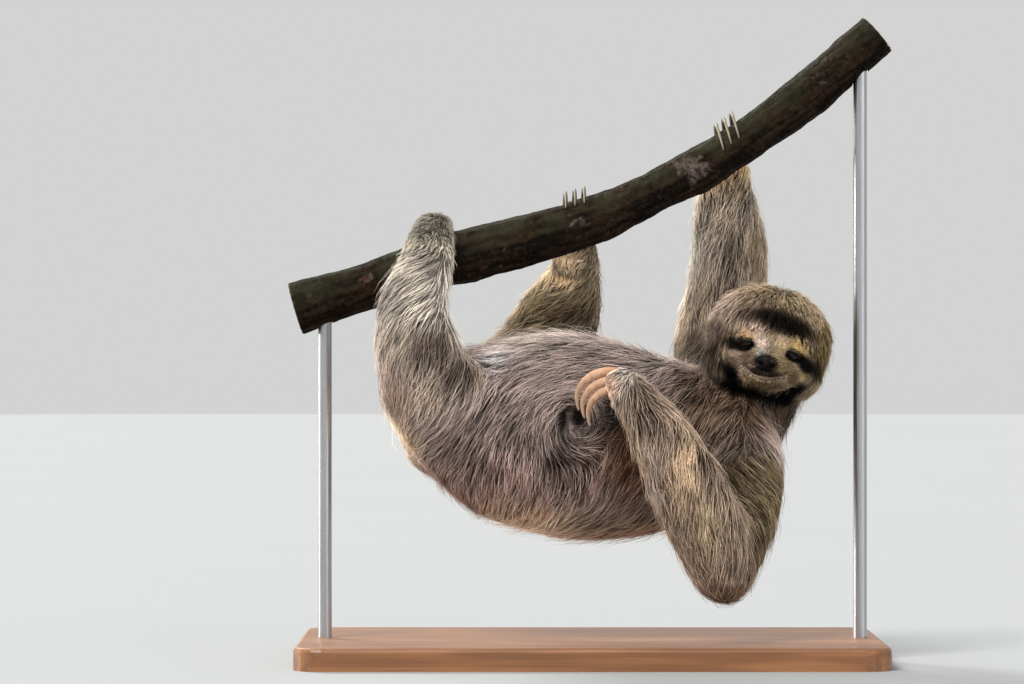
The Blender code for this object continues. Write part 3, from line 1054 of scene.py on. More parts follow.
STYLES = {
    "head": CoatStyle(6.5, 14, 0.38, 150, (0.0, 0.2, -1.0), (134, 116, 96)),
    "neck": CoatStyle(9.0, 32, 0.66, 50, (-0.1, -0.3, -1.0), (74, 58, 46)),
    "trunk": CoatStyle(10.5, 35, 0.50, 48, (-0.45, 0.0, -0.9), (150, 134, 128)),
    "tail": CoatStyle(4.0, 18, 0.62, 55, (-0.7, 0.5, 0.3), (128, 108, 94)),
    "left_thigh": CoatStyle(8.5, 38, 0.52, 54, (-0.22, 0.0, -1.0), (170, 156, 143)),
    "left_shank": CoatStyle(7.5, 34, 0.48, 66, (-0.5, 0.0, -0.95), (180, 171, 159)),
    "left_foot": CoatStyle(4.0, 8, 0.34, 165, (-0.35, -0.35, -0.9), (124, 117, 106)),
    "right_thigh": CoatStyle(8.5, 34, 0.66, 44, (-0.6, 0.1, -0.8), (140, 127, 112)),
    "right_shank": CoatStyle(7.5, 26, 0.64, 50, (-0.6, 0.0, -0.8), (146, 131, 106)),
    "right_foot": CoatStyle(3.2, 7, 0.36, 190, (-0.2, -0.3, -1.0), (156, 140, 118)),
    "left_upper_arm": CoatStyle(8.0, 38, 0.56, 56, (0.45, -0.1, -0.85), (102, 88, 66)),
    "left_forearm": CoatStyle(7.5, 38, 0.50, 70, (0.05, 0.0, -1.0), (143, 124, 108)),
    "left_hand": CoatStyle(3.4, 10, 0.38, 170, (-0.5, 0.0, -0.7), (190, 178, 167)),
    "right_upper_arm": CoatStyle(8.0, 36, 0.66, 46, (-0.25, 0.0, -1.0), (150, 138, 124)),
    "right_forearm": CoatStyle(7.5, 38, 0.56, 60, (-0.2, 0.0, -1.0), (176, 162, 146)),
    "right_hand": CoatStyle(4.5, 14, 0.56, 85, (-0.1, -0.2, -1.0), (186, 164, 134)),
}

GUIDES = (
    Guide(Place("trunk", 0.39, 0.09, 0.76), (-0.9, 0.0, -0.45), 32),
    Guide(Place("trunk", 0.27, 0.17, 0.81), (-0.8, 0.0, -0.5), 25),
    Guide(Place("trunk", 0.55, 0.10, 0.80), (-0.95, 0.0, -0.3), 35),
    Guide(Place("trunk", 0.17, 0.20, 0.34), (-0.45, 0.0, -0.9), 35),
    Guide(Place("trunk", 0.34, 0.08, 0.35), (-0.12, 0.0, -1.0), 40),
    Guide(Place("trunk", 0.40, 0.03, 0.55), (-0.35, 0.0, -1.0), 22),
    Guide(Place("trunk", 0.12, 0.04, 0.53), (-0.5, 0.0, -0.85), 30),
    Guide(Place("trunk", 0.54, 0.05, 0.35), (-0.2, 0.0, -1.0), 30),
    Guide(Place("trunk", 0.64, 0.21, 0.11), (-0.85, 0.0, -0.6), 35),
    Guide(Place("trunk", 0.54, 0.39, 0.01), (-0.85, 0.0, -0.5), 40),
    Guide(Place("trunk", 0.79, 0.17, 0.70), (-0.75, 0.0, -0.75), 26),
    Guide(Place("trunk", 0.95, 0.10, 0.60), (0.45, 0.0, -0.95), 25),
    Guide(Place("left_hand", 0.05, 0.40, 0.50), (-1.0, -0.1, -0.35), 14),
    Guide(Place("left_hand", 0.80, 0.40, 0.60), (-0.1, 0.0, -1.0), 12),
    Guide(Place("left_forearm", 0.25, 0.18, 0.89), (0.65, 0.0, -0.75), 18),
    Guide(Place("left_forearm", 0.32, 0.05, 0.59), (0.4, 0.0, -0.9), 20),
    Guide(Place("left_forearm", 0.60, 0.17, 0.72), (-0.5, 0.0, -0.85), 22),
    Guide(Place("left_forearm", 0.60, 0.04, 0.50), (0.0, 0.0, -1.0), 22),
    Guide(Place("left_forearm", 0.53, 0.07, 0.30), (0.2, 0.0, -1.0), 28),
    Guide(Place("left_forearm", 0.92, 0.10, 0.25), (-0.2, 0.0, -1.0), 22),
    Guide(Place("left_upper_arm", 0.46, 0.27, 0.86), (0.6, 0.0, -0.8), 24),
    Guide(Place("left_upper_arm", 0.68, 0.24, 0.79), (0.75, 0.0, -0.65), 24),
    Guide(Place("left_upper_arm", 0.79, 0.20, 0.45), (0.3, 0.0, -0.95), 24),
    Guide(Place("left_thigh", 0.15, 0.20, 0.60), (-0.35, 0.0, -0.95), 26),
    Guide(Place("left_thigh", 0.85, 0.20, 0.40), (-0.5, 0.0, -0.9), 26),
    Guide(Place("left_shank", 0.60, 0.10, 0.70), (-0.85, 0.0, -0.6), 26),
    Guide(Place("right_forearm", 0.22, 0.30, 0.60), (-0.65, 0.0, -0.75), 26),
    Guide(Place("right_forearm", 0.80, 0.30, 0.55), (0.3, 0.0, -0.95), 24),
    Guide(Place("right_shank", 0.38, 0.19, 0.73), (-0.9, 0.0, -0.55), 16),
    Guide(Place("right_shank", 0.72, 0.02, 0.66), (-0.35, 0.0, -0.95), 12),
    Guide(Place("right_shank", 0.54, 0.24, 0.32), (-0.9, 0.1, -0.3), 20),
    Guide(Place("right_shank", 0.97, 0.32, 0.53), (0.15, 0.2, -1.0), 14),
)

SWIRLS = (
    Swirl(Place("trunk", 0.465, 0.08, 0.569), 19.0, 9.0),
    Swirl(Place("right_foot", 0.46, 0.20, 0.16), 11.0, 0.5),
)

HOLLOWS = (
    Hollow(Place("trunk", 0.487, 0.10, 0.587), (7, 24, 9), 5.0),
    Hollow(Place("trunk", 0.434, 0.10, 0.385), (14, 24, 6), 5.0),
    Hollow(Place("trunk", 0.444, 0.10, 0.583), (4, 24, 12), 4.0),
)

PATCHES = (
    Patch(Place("trunk", 0.40, 0.25, 0.96), (100, 60, 24), (130, 120, 113), 0.85),
    Patch(Place("trunk", 0.281, 0.17, 0.83), (19, 34, 13), (178, 176, 175), 0.9),
    Patch(Place("trunk", 0.66, 0.20, 0.80), (24, 40, 12), (134, 123, 114), 0.7),
    Patch(Place("trunk", 0.55, 0.40, 0.05), (120, 95, 38), (150, 134, 119), 0.85),
    Patch(Place("trunk", 0.30, 0.06, 0.28), (62, 50, 30), (152, 131, 124), 0.75),
    # Painted light: a pale patch on the underside, lighter than the coat there, standing in for
    # light from below.
    Patch(Place("trunk", 0.30, 0.25, 0.10), (60, 60, 22), (198, 182, 162), 0.8),
    # Painted rim light on the rump's lower left edge.
    Patch(Place("trunk", 0.04, 0.30, 0.42), (24, 50, 45), (240, 226, 198), 0.9),
    # Darker brown along the forearm's edge: painted shadow of the forearm on the trunk, partly the
    # coat's browner colour.
    Patch(Place("trunk", 0.615, 0.10, 0.43), (31, 50, 52), (92, 65, 48), 1.0),
    # Painted shadow: near-black fur between the scratching claws and the forearm.
    Patch(Place("trunk", 0.567, 0.10, 0.60), (14, 30, 15), (30, 28, 22), 0.95),
    # Painted shade: near black in the hollows where the scratching claws part the fur, here and on
    # the next line.
    Patch(Place("trunk", 0.434, 0.10, 0.385), (16, 30, 7), (12, 8, 6), 1.0),
    Patch(Place("trunk", 0.444, 0.10, 0.583), (4.5, 30, 13), (16, 11, 9), 0.95),
    Patch(Place("trunk", 0.435, 0.10, 0.485), (14, 30, 6), (136, 124, 120), 0.7),
    # Painted shade: near black in the third hollow of the parted fur.
    Patch(Place("trunk", 0.487, 0.10, 0.587), (8, 30, 10), (11, 8, 6), 1.0),
    Patch(Place("trunk", 0.516, 0.10, 0.33), (10, 30, 18), (140, 118, 110), 0.8),
    Patch(Place("trunk", 0.83, 0.15, 0.64), (50, 66, 48), (106, 85, 69), 0.95),
    Patch(Place("trunk", 0.93, 0.10, 0.64), (22, 36, 26), (104, 74, 42), 0.95),
    Patch(Place("left_forearm", 0.50, 0.05, 0.58), (12, 24, 40), (196, 172, 143), 0.7),
    Patch(Place("left_forearm", 0.66, 0.05, 0.32), (12, 24, 30), (186, 167, 138), 0.65),
    Patch(Place("left_forearm", 0.30, 0.05, 0.45), (9, 24, 40), (142, 129, 124), 0.7),
    Patch(Place("left_forearm", 0.30, 0.10, 0.93), (22, 26, 20), (80, 71, 55), 0.9),
    Patch(Place("left_forearm", 0.80, 0.40, 0.02), (26, 30, 15), (106, 88, 72), 0.7),
    Patch(Place("left_hand", 0.75, 0.30, 0.85), (10, 30, 8), (150, 144, 122), 0.6),
    Patch(Place("left_hand", 0.12, 0.40, 0.50), (9, 30, 18), (214, 182, 160), 0.85),
    Patch(Place("left_foot", 0.50, 0.10, 0.25), (38, 40, 17), (186, 178, 160), 0.9),
    Patch(Place("left_shank", 0.60, 0.10, 0.45), (16, 30, 34), (198, 190, 177), 0.6),
    Patch(Place("left_shank", 0.15, 0.30, 0.60), (10, 30, 44), (128, 118, 114), 0.7),
    Patch(Place("left_thigh", 0.50, 0.10, 0.75), (20, 30, 22), (92, 78, 70), 0.85),
    Patch(Place("left_thigh", 0.68, 0.10, 0.52), (18, 34, 22), (88, 75, 66), 0.8),
    Patch(Place("left_thigh", 0.20, 0.20, 0.25), (16, 30, 26), (144, 122, 112), 0.75),
    # Painted shade in the crease between the thigh and the belly.
    Patch(Place("left_thigh", 0.92, 0.25, 0.45), (14, 36, 36), (98, 84, 68), 0.85),
    Patch(Place("left_upper_arm", 0.30, 0.20, 0.92), (22, 26, 18), (72, 54, 40), 0.75),
    Patch(Place("left_upper_arm", 0.75, 0.20, 0.55), (14, 26, 22), (128, 114, 88), 0.5),
    Patch(Place("right_forearm", 0.20, 0.30, 0.45), (14, 34, 46), (152, 153, 148), 0.9),
    Patch(Place("right_forearm", 0.40, 0.10, 0.50), (9, 34, 34), (190, 182, 174), 0.7),
    Patch(Place("right_forearm", 0.57, 0.10, 0.45), (6, 34, 30), (56, 45, 36), 0.9),
    Patch(Place("right_forearm", 0.85, 0.30, 0.50), (11, 30, 40), (148, 132, 108), 0.8),
    Patch(Place("right_upper_arm", 0.45, 0.20, 0.90), (24, 40, 26), (92, 74, 58), 0.7),
    Patch(Place("right_hand", 0.55, 0.20, 0.45), (16, 24, 14), (212, 178, 136), 0.7),
    Patch(Place("right_foot", 0.40, 0.20, 0.24), (12, 18, 13), (252, 230, 198), 0.95),
    Patch(Place("right_shank", 0.60, 0.06, 0.78), (17, 22, 10), (248, 222, 184), 0.9),
    Patch(Place("right_shank", 0.40, 0.20, 0.70), (14, 16, 7), (222, 200, 168), 0.7),
    Patch(Place("right_shank", 0.55, 0.20, 0.40), (30, 30, 16), (114, 100, 74), 0.8),
    Patch(Place("right_shank", 0.95, 0.30, 0.60), (6, 20, 30), (110, 100, 78), 0.7),
)

FACE_PATCHES = (
    FacePatch((-40, 16, 18), (16, 34, 20), (150, 131, 118), 0.7),
    FacePatch((-43, 24, -5), (12, 36, 18), (66, 54, 47), 0.85),
    FacePatch((-46, 12, -24), (16, 40, 15), (52, 41, 34), 0.85),
    FacePatch((42, 16, 6), (13, 30, 30), (104, 88, 54), 0.9),
    FacePatch((0, 14, 42), (40, 30, 14), (150, 133, 106), 0.7),
    FacePatch((-21, 40, 20), (14, 24, 7), (64, 52, 46), 0.85, 6),
    FacePatch((0, 44, 22), (21, 24, 10), (22, 17, 13), 1.0, -4),
    FacePatch((15, 42, 19.5), (19, 24, 9.5), (18, 13, 9), 1.0, -12),
    FacePatch((28, 36, 15.5), (10, 20, 6), (44, 35, 23), 0.8, -30),
    FacePatch((-20, 44, 11.0), (16, 14, 5.2), (200, 176, 162), 0.9, 8, 0.7),
    FacePatch((-20.5, 44, 6.2), (9, 10, 2.6), (182, 150, 112), 0.8, 6, 0.8),
    FacePatch((-7.0, 52, 5.0), (7, 14, 6.4), (180, 164, 156), 0.9, 0, 0.8),
    FacePatch((0.5, 54, 3.0), (4.8, 14, 7.5), (96, 86, 74), 0.8, 0, 0.8),
    FacePatch((9, 50, 6.5), (8, 14, 4.0), (176, 156, 120), 0.8, -14, 0.8),
    FacePatch((24.5, 44, 6.0), (13, 14, 4.4), (174, 148, 98), 0.85, -22),
    # Blue-grey on the nose bridge: partly grey hair and partly a painted highlight where the top of
    # the nose catches light.
    FacePatch((-6.0, 57, -3.4), (4.8, 14, 4.2), (126, 128, 130), 0.8, 0, 0.8),
    FacePatch((8, 52, -1.5), (5.5, 12, 5), (136, 122, 88), 0.8),
    FacePatch((-14, 54, -9), (8.5, 12, 6.4), (82, 64, 54), 0.85),
    FacePatch((-25, 47, -17), (8, 14, 5.5), (70, 56, 45), 0.85, -26),
    FacePatch((14, 54, -9), (9.5, 12, 7.5), (118, 101, 68), 0.85),
    FacePatch((1, 60, -15.6), (14.5, 12, 4.6), (40, 29, 22), 0.95),
    FacePatch((2, 56, -22.2), (16, 14, 3.0), (128, 110, 82), 0.9, 4),
    FacePatch((4, 54, -25.5), (20, 16, 3.4), (84, 72, 48), 0.9, 8),
    FacePatch((23, 46, -17), (6, 14, 7), (92, 75, 48), 0.85, 40),
    FacePatch((-26, 44, -9.4), (9, 12, 2.6), (140, 118, 104), 0.8, 10),
    FacePatch((-32, 42, -13.0), (3.2, 12, 4.4), (144, 120, 104), 0.8, -14),
    FacePatch((31.5, 42, -12.0), (4.8, 12, 8), (176, 152, 106), 0.9, -30),
    FacePatch((38, 30, -11), (4.2, 22, 12), (20, 16, 9), 0.95, 6, 0.5),
    FacePatch((-38, 36, -13), (5.5, 20, 9), (32, 26, 22), 0.9, -20),
    # Black beside and under the chin, on these three lines: dark hair with painted shadow under the
    # chin.
    FacePatch((-24, 42, -24.8), (15, 24, 7.0), (12, 9, 6), 1.0, -34, 0.4),
    FacePatch((0, 38, -37), (46, 36, 10), (5, 4, 3), 1.0, 0, 0.24),
    FacePatch((27, 40, -25.5), (12, 30, 5.0), (8, 6, 4), 1.0, 38, 0.4),
    FacePatch((-30.5, 42, -3.0), (15, 14, 6.2), (8, 6, 4), 1.0, 6, 0.5),
    FacePatch((-18.6, 46, -1.0), (9.6, 10, 6.2), (9, 6, 5), 1.0, 10, 0.35),
    FacePatch((19.6, 46, -0.6), (8.6, 10, 5.6), (6, 4, 4), 1.0, -18, 0.35),
    FacePatch((32, 40, -7.0), (15, 14, 7.0), (6, 5, 3), 1.0, -38, 0.6),
    FacePatch((0, 63, -9.0), (10.6, 12, 7.2), (7, 5, 5), 1.0),
    # Painted highlight on the top of the nose.
    FacePatch((-3, 62, -3.8), (5, 12, 1.8), (54, 52, 52), 0.6),
    FacePatch((-1.5, 63, -8.5), (2.0, 12, 2.2), (34, 27, 25), 0.6),
    FacePatch((4.5, 63, -5.2), (2.6, 12, 1.6), (62, 52, 44), 0.6),
)


@dataclass
class Face:
    """Folds of the bare and short-haired face, in the head's own axes (mm)."""

    frame: HeadFrame
    ball: float = 5.8
    lid: float = 0.85
    slit_length: float = 6.4
    slit_height: float = 2.5
    slit_drop: float = -1.1
    slit_tilt: float = math.radians(18.0)
    ball_gap: float = 1.6
    lids_size: tuple = (8.2, 5.0)
    lids_front: float = 30.0
    short_middle: tuple = (3.0, -9.0)
    short_size: tuple = (38.0, 24.0)
    nose: tuple = (0.0, -9.3)
    nose_size: tuple = (8.2, 5.2)
    nose_swell: float = 0.5
    nose_front: float = 45.0
    nostril: tuple = (4.9, -10.0)
    nostril_size: tuple = (2.3, 1.6)
    nostril_depth: float = 3.4
    cheek: tuple = (12.5, -11.0)
    cheek_size: tuple = (6.5, 5.5)
    cheek_swell: float = 1.1
    cheek_front: float = 40.0
    mouth_half: float = 16.0
    mouth_low: float = -19.2
    mouth_rise: float = 6.0
    mouth_skew: float = 0.05
    mouth_front: float = 42.0
    mouth_depth: float = 1.8
    corner_depth: float = 1.3
    lip_swell: float = 1.1
    groove_depth: float = 0.7

    def region(self, local: Array) -> Array:
        """Return 1 on the short-haired face and 0 beyond it."""
        ring = oval(local, self.short_middle, self.short_size)
        return (1.0 - ease(ring, 0.82, 1.06)) * ease(local[:, 1], 16.0, 28.0)

    def opening(self, local: Array, side: float) -> Array:
        """Return how far each point is inside one eye's slit.

        Args:
            local: Points in the head's own axes.
            side: -1 for the viewer's left eye, 1 for the right.

        Returns:
            1 in the middle of the slit, 0 on its rim and less beyond it.
        """
        x = (local[:, 0] - side * self.frame.half_spread) * side
        z = local[:, 2] - self.frame.eye_height - self.slit_drop
        run = (x * math.cos(self.slit_tilt) - z * math.sin(self.slit_tilt)) / self.slit_length
        rise = (x * math.sin(self.slit_tilt) + z * math.cos(self.slit_tilt)) / self.slit_height
        arch = np.maximum(1.0 - run * run, 0.0)
        return np.where(local[:, 1] > self.lids_front, arch - np.abs(rise), -1.0)

    def mouth_line(self, x: Array) -> Array:
        """Return the height of the closed lips at each place across."""
        return self.mouth_low + self.mouth_rise * (x / self.mouth_half) ** 2 + self.mouth_skew * x

    def nose_mask(self, local: Array) -> Array:
        """Return 1 on the bare nose pad."""
        ring = oval(local, self.nose, self.nose_size)
        return (1.0 - ease(ring, 0.82, 1.05)) * (local[:, 1] > self.nose_front)

    def bare(self, local: Array) -> Array:
        """Find the skin that shows without hair: nose, lids and lips.

        Args:
            local: Points in the head's own axes.

        Returns:
            1 on bare skin, falling to 0 under hair.
        """
        mask = self.nose_mask(local)
        for side in (-1.0, 1.0):
            x = local[:, 0] - side * self.frame.half_spread
            z = local[:, 2] - self.frame.eye_height - self.slit_drop
            ring = np.hypot(x / self.lids_size[0], z / self.lids_size[1])
            lids = (1.0 - ease(ring, 0.8, 1.1)) * (local[:, 1] > self.lids_front)
            mask = np.maximum(mask, lids)
        offset = local[:, 2] - self.mouth_line(local[:, 0]) + 0.6
        lips = (1.0 - ease(np.abs(offset), 0.9, 1.8)) * (np.abs(local[:, 0]) < self.mouth_half)
        return np.maximum(mask, lips * (local[:, 1] > self.nose_front))

    def carve(self, surface: Surface) -> None:
        """Shape nose, nostrils, cheeks and mouth, then fold the lids over the eyes.

        Args:
            surface: The skin, whose points are moved.
        """
        local = self.frame.local(surface.points)
        x, out, z = local.T
        normals = surface.normals()
        push = self.nose_swell * self.nose_mask(local)
        for side in (-1.0, 1.0):
            nostril = oval(local, (side * self.nostril[0], self.nostril[1]), self.nostril_size)
            push -= self.nostril_depth * np.exp(-(nostril**4)) * (out > self.nose_front)
            end = (side * (self.mouth_half + 0.6), self.mouth_line(side * self.mouth_half))
            corner = oval(local, end, (1.0, 1.0))
            push -= self.corner_depth * np.exp(-((corner / 2.6) ** 2)) * (out > self.cheek_front)
            cheek = oval(local, (side * self.cheek[0], self.cheek[1]), self.cheek_size)
            push += self.cheek_swell * np.exp(-(cheek**2)) * (out > self.cheek_front)
        inside = 1.0 - ease(np.abs(x), self.mouth_half - 2.0, self.mouth_half + 1.5)
        offset = z - self.mouth_line(x)
        lip = self.lip_swell * np.exp(-(((offset + 2.4) / 1.5) ** 2))
        lip -= self.mouth_depth * np.exp(-((offset / 0.85) ** 2))
        push += inside * (out > self.mouth_front) * lip
        groove = np.exp(-((x / 0.8) ** 2)) * ease(z, -19.0, -16.0) * (1.0 - ease(z, -12.0, -9.0))
        push -= self.groove_depth * groove * (out > self.nose_front)
        surface.points += normals * (push * MM)[:, None]
        self.fold_lids(surface)

    def fold_lids(self, surface: Surface) -> None:
        """Lay the lids on a ball just over each eye and open the slit between them.

        Args:
            surface: The skin, whose points are moved.
        """
        local = self.frame.local(surface.points)
        forward = np.zeros(len(local))
        for side in (-1.0, 1.0):
            x = local[:, 0] - side * self.frame.half_spread
            z = local[:, 2] - self.frame.eye_height
            ring = x * x + z * z
            over = self.ball + self.lid
            near = (ring < (over + 4.0) ** 2) & (local[:, 1] > self.lids_front)
            ball = self.frame.eye_forward + np.sqrt(np.maximum(over * over - ring, 0.0))
            raised = np.where(ring < over * over, np.maximum(ball - local[:, 1], -3.0), 0.0)
            raised = np.where(raised > -0.8, raised, -0.8)
            share = 1.0 - ease(np.sqrt(ring), over - 0.6, over + 3.0)
            lift = np.where(near, raised * share, 0.0)
            inner = self.ball - self.ball_gap
            sunk = np.sqrt(np.maximum(inner * inner - ring, 0.0))
            floor = self.frame.eye_forward + sunk - local[:, 1]
            gap = ease(self.opening(local, side), -0.02, 0.26)
            forward += lift * (1.0 - gap) + np.where(near, floor, 0.0) * gap
        surface.points += self.frame.forward * (forward * MM)[:, None]


@dataclass
class Skin:
    """The one seamless skin under the coat, with the fields that the coat grows from.

    Blurs are in rounds. Depths, the face's hair and places on the head are in millimetres.
    """

    frame: HeadFrame
    material: Material
    voxel: float = 2.5 * MM
    overlap: float = 0.6 * MM
    fine_middle: tuple = (2.0, -8.0)
    fine_size: tuple = (38.0, 28.0)
    fine_front: float = 18.0
    face_cuts: int = 3
    label_blur: int = 3
    depth_blur: int = 14
    tone_blur: int = 34
    style_blur: int = 8
    sink_steps: int = 6
    deepest: float = 11.0
    face_depth: float = 2.3
    nose_depth: float = 1.5
    face_length: float = 4.4
    brink_length: float = 2.4
    face_width: float = 0.40
    patch_wander: float = 0.16
    spot_wander: float = 0.10
    waves: float = 55.0
    wave_turn: float = 0.22
    crown: tuple = (2.0, -26.0, 52.0)
    muzzle: tuple = (0.0, 62.0, -8.0)
    # lip: the lower lip's pale edge with a painted highlight. mouth: dark lip skin with painted
    # shade in the closed mouth's crease.
    lip: tuple = (246, 218, 200)
    mouth: tuple = (20, 13, 11)
    surface: Surface = field(init=False)
    weights: dict = field(init=False)
    fields: dict = field(init=False)
    normals: Array = field(init=False)

    def build(self) -> Object:
        """Fuse, label, sink and carve the skin, then store its marks.

        Returns:
            The skin as a piece that replaces every node of flesh.
        """
        mesh = self.fuse()
        self.surface = Surface(mesh)
        self.label()
        self.sink()
        face = Face(self.frame)
        face.carve(self.surface)
        self.normals = self.surface.normals()
        self.paint(face)
        self.comb()
        mesh.vertices.foreach_set("co", self.surface.points.ravel())
        mesh.update()
        mesh.shade_smooth()
        set_attribute(mesh, "mark", self.fields["colour"])
        set_attribute(mesh, "bare", self.fields["bare"])
        skin = link_object("skin", mesh)
        dress(skin, self.material)
        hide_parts(*FLESH)
        return skin

    def fuse(self) -> Mesh:
        """Fuse all the flesh into one skin of triangles, finer on the face.

        Returns:
            The mesh, whose points aren't sunk yet.
        """
        mesh = fused([merged_copy(node, self.overlap) for node in FLESH], self.voxel)
        bm = bmesh.new()
        bm.from_mesh(mesh)
        keep_largest(bm)
        bmesh.ops.smooth_vert(
            bm, verts=bm.verts, factor=0.5, use_axis_x=True, use_axis_y=True, use_axis_z=True
        )
        centres = np.array([face.calc_center_median() for face in bm.faces])
        local = self.frame.local(centres)
        ring = oval(local, self.fine_middle, self.fine_size)
        inside = np.flatnonzero((ring < 1.0) & (local[:, 1] > self.fine_front))
        faces = list(bm.faces)
        edges = {edge for index in inside for edge in faces[index].edges}
        bmesh.ops.subdivide_edges(bm, edges=list(edges), cuts=self.face_cuts, use_grid_fill=True)
        bmesh.ops.triangulate(bm, faces=bm.faces)
        bm.to_mesh(mesh)
        bm.free()
        return mesh

    def label(self) -> None:
        """Find how much each vertex belongs to each part of the body."""
        points: list = []
        faces: list = []
        owners: list = []
        for number, node in enumerate(FLESH):
            bm = merged_copy(node)
            bm.verts.index_update()
            start = len(points)
            points.extend(vertex.co.copy() for vertex in bm.verts)
            faces.extend([start + vertex.index for vertex in face.verts] for face in bm.faces)
            owners.extend([number] * len(bm.faces))
            bm.free()
        tree = BVHTree.FromPolygons(points, faces)
        places = self.surface.points.tolist()
        nearest = np.array([owners[tree.find_nearest(place)[2]] for place in places])
        shares = self.surface.blur(np.eye(len(FLESH))[nearest], self.label_blur)
        self.weights = {node: shares[:, number] for number, node in enumerate(FLESH)}

    def styled(self, name: str) -> Array:
        """Mix one property of the parts' styles by how much each vertex belongs to them.

        Args:
            name: The property's name in a style.

        Returns:
            One number or one row for each vertex.
        """
        return sum(
            np.multiply.outer(share, np.asarray(getattr(STYLES[node], name), float))
            for node, share in self.weights.items()
        )

    def sink(self) -> None:
        """Draw the surface in by the coat's depth, a little at a time, and smooth it."""
        surface = self.surface
        local = self.frame.local(surface.points)
        face = Face(self.frame)
        short = face.region(local) * self.weights["head"]
        depth = surface.blur(self.styled("depth"), self.depth_blur)
        depth = depth * (1.0 - short) + self.face_depth * short
        nose = face.nose_mask(local)
        depth = depth * (1.0 - nose) + self.nose_depth * nose
        fine = ease(short, 0.2, 0.6)
        for hollow in HOLLOWS:
            offset = (surface.points - hollow.place.point()) / (np.array(hollow.radii) * MM)
            press = hollow.depth * np.exp(-np.sum(offset * offset, axis=1))
            depth += press * self.near(hollow.place.node)
        for _ in range(self.sink_steps):
            surface.points -= surface.normals() * (depth * MM / self.sink_steps)[:, None]
            surface.points = surface.blur(surface.points, 2, 0.45 - 0.15 * fine)
            surface.points = surface.blur(surface.points, 3, 0.45 * fine)
        self.fields = {"depth": np.minimum(depth, self.deepest), "short": short}

    def paint(self, face: Face) -> None:
        """Work out the markings: each part's tone, then its patches, then the face; some patches are
        painted shade, shadow and light.

        Args:
            face: The face, for its bare skin and its mouth.
        """
        points = self.surface.points
        colour = np.zeros_like(points)
        for node, share in self.weights.items():
            colour += share[:, None] * linear(STYLES[node].colour)
        colour = self.surface.blur(colour, self.tone_blur)
        wander = ripple(points, 90.0, 3.1) + 0.5 * ripple(points, 260.0, 7.7)
        for patch in PATCHES:
            offset = (points - patch.place.point()) / (np.array(patch.radii) * MM)
            ring = np.linalg.norm(offset, axis=1) + self.patch_wander * wander
            share = patch.strength * (1.0 - ease(ring, 0.35, 1.25)) * self.near(patch.place.node)
            colour += share[:, None] * (linear(patch.colour) - colour)
        local = self.frame.local(points)
        head = np.clip((self.weights["head"] + self.weights["neck"]) * 1.4, 0.0, 1.0)
        head = self.surface.blur(head, 2)
        for spot in FACE_PATCHES:
            turn = math.radians(spot.turn)
            offset = local - spot.centre
            x = offset[:, 0] * math.cos(turn) + offset[:, 2] * math.sin(turn)
            z = offset[:, 2] * math.cos(turn) - offset[:, 0] * math.sin(turn)
            out = offset[:, 1] / spot.radii[1]
            ring = np.sqrt((x / spot.radii[0]) ** 2 + out**2 + (z / spot.radii[2]) ** 2)
            beyond = ease(ring + self.spot_wander * wander, 1.12 - spot.soft, 1.12)
            share = spot.strength * (1.0 - beyond) * head
            colour += share[:, None] * (linear(spot.colour) - colour)
        self.fields["bare"] = face.bare(local) * ease(self.weights["head"], 0.3, 0.6)
        self.line_mouth(face, local, colour)
        self.fields["colour"] = np.clip(colour, 0.001, 1.0)

    def near(self, node: str) -> Array:
        """Return how much each vertex belongs to a part, counting its blurred edges in full."""
        return np.clip(self.weights[node] * 1.5, 0.0, 1.0)

    def line_mouth(self, face: Face, local: Array, colour: Array) -> None:
        """Darken the closed mouth, dark lip skin with painted shade in its crease, and pale the
        lower lip under it, its own pale edge with a painted highlight stronger on the viewer's left.

        Args:
            face: The face, for its mouth.
            local: Points in the head's own axes.
            colour: The markings, which are changed.
        """
        x, out, z = local.T
        offset = z - face.mouth_line(x)
        fade = 1.0 - ease(np.abs(x), face.mouth_half - 1.0, face.mouth_half + 1.0)
        fade *= out > face.mouth_front
        # The lip line fades towards the viewer's right: a painted highlight strongest on the left,
        # over the lip's own pale edge. The dark line is painted shade in the crease as well as dark
        # lip skin.
        lip = fade * np.exp(-(((offset + 1.6) / 1.0) ** 2)) * (1.0 - 0.35 * ease(x, -8.0, 4.0))
        dark = fade * np.exp(-(((offset - 0.7) / 1.1) ** 2)) * 0.95
        colour += lip[:, None] * (linear(self.lip) - colour)
        colour += dark[:, None] * (linear(self.mouth) - colour)

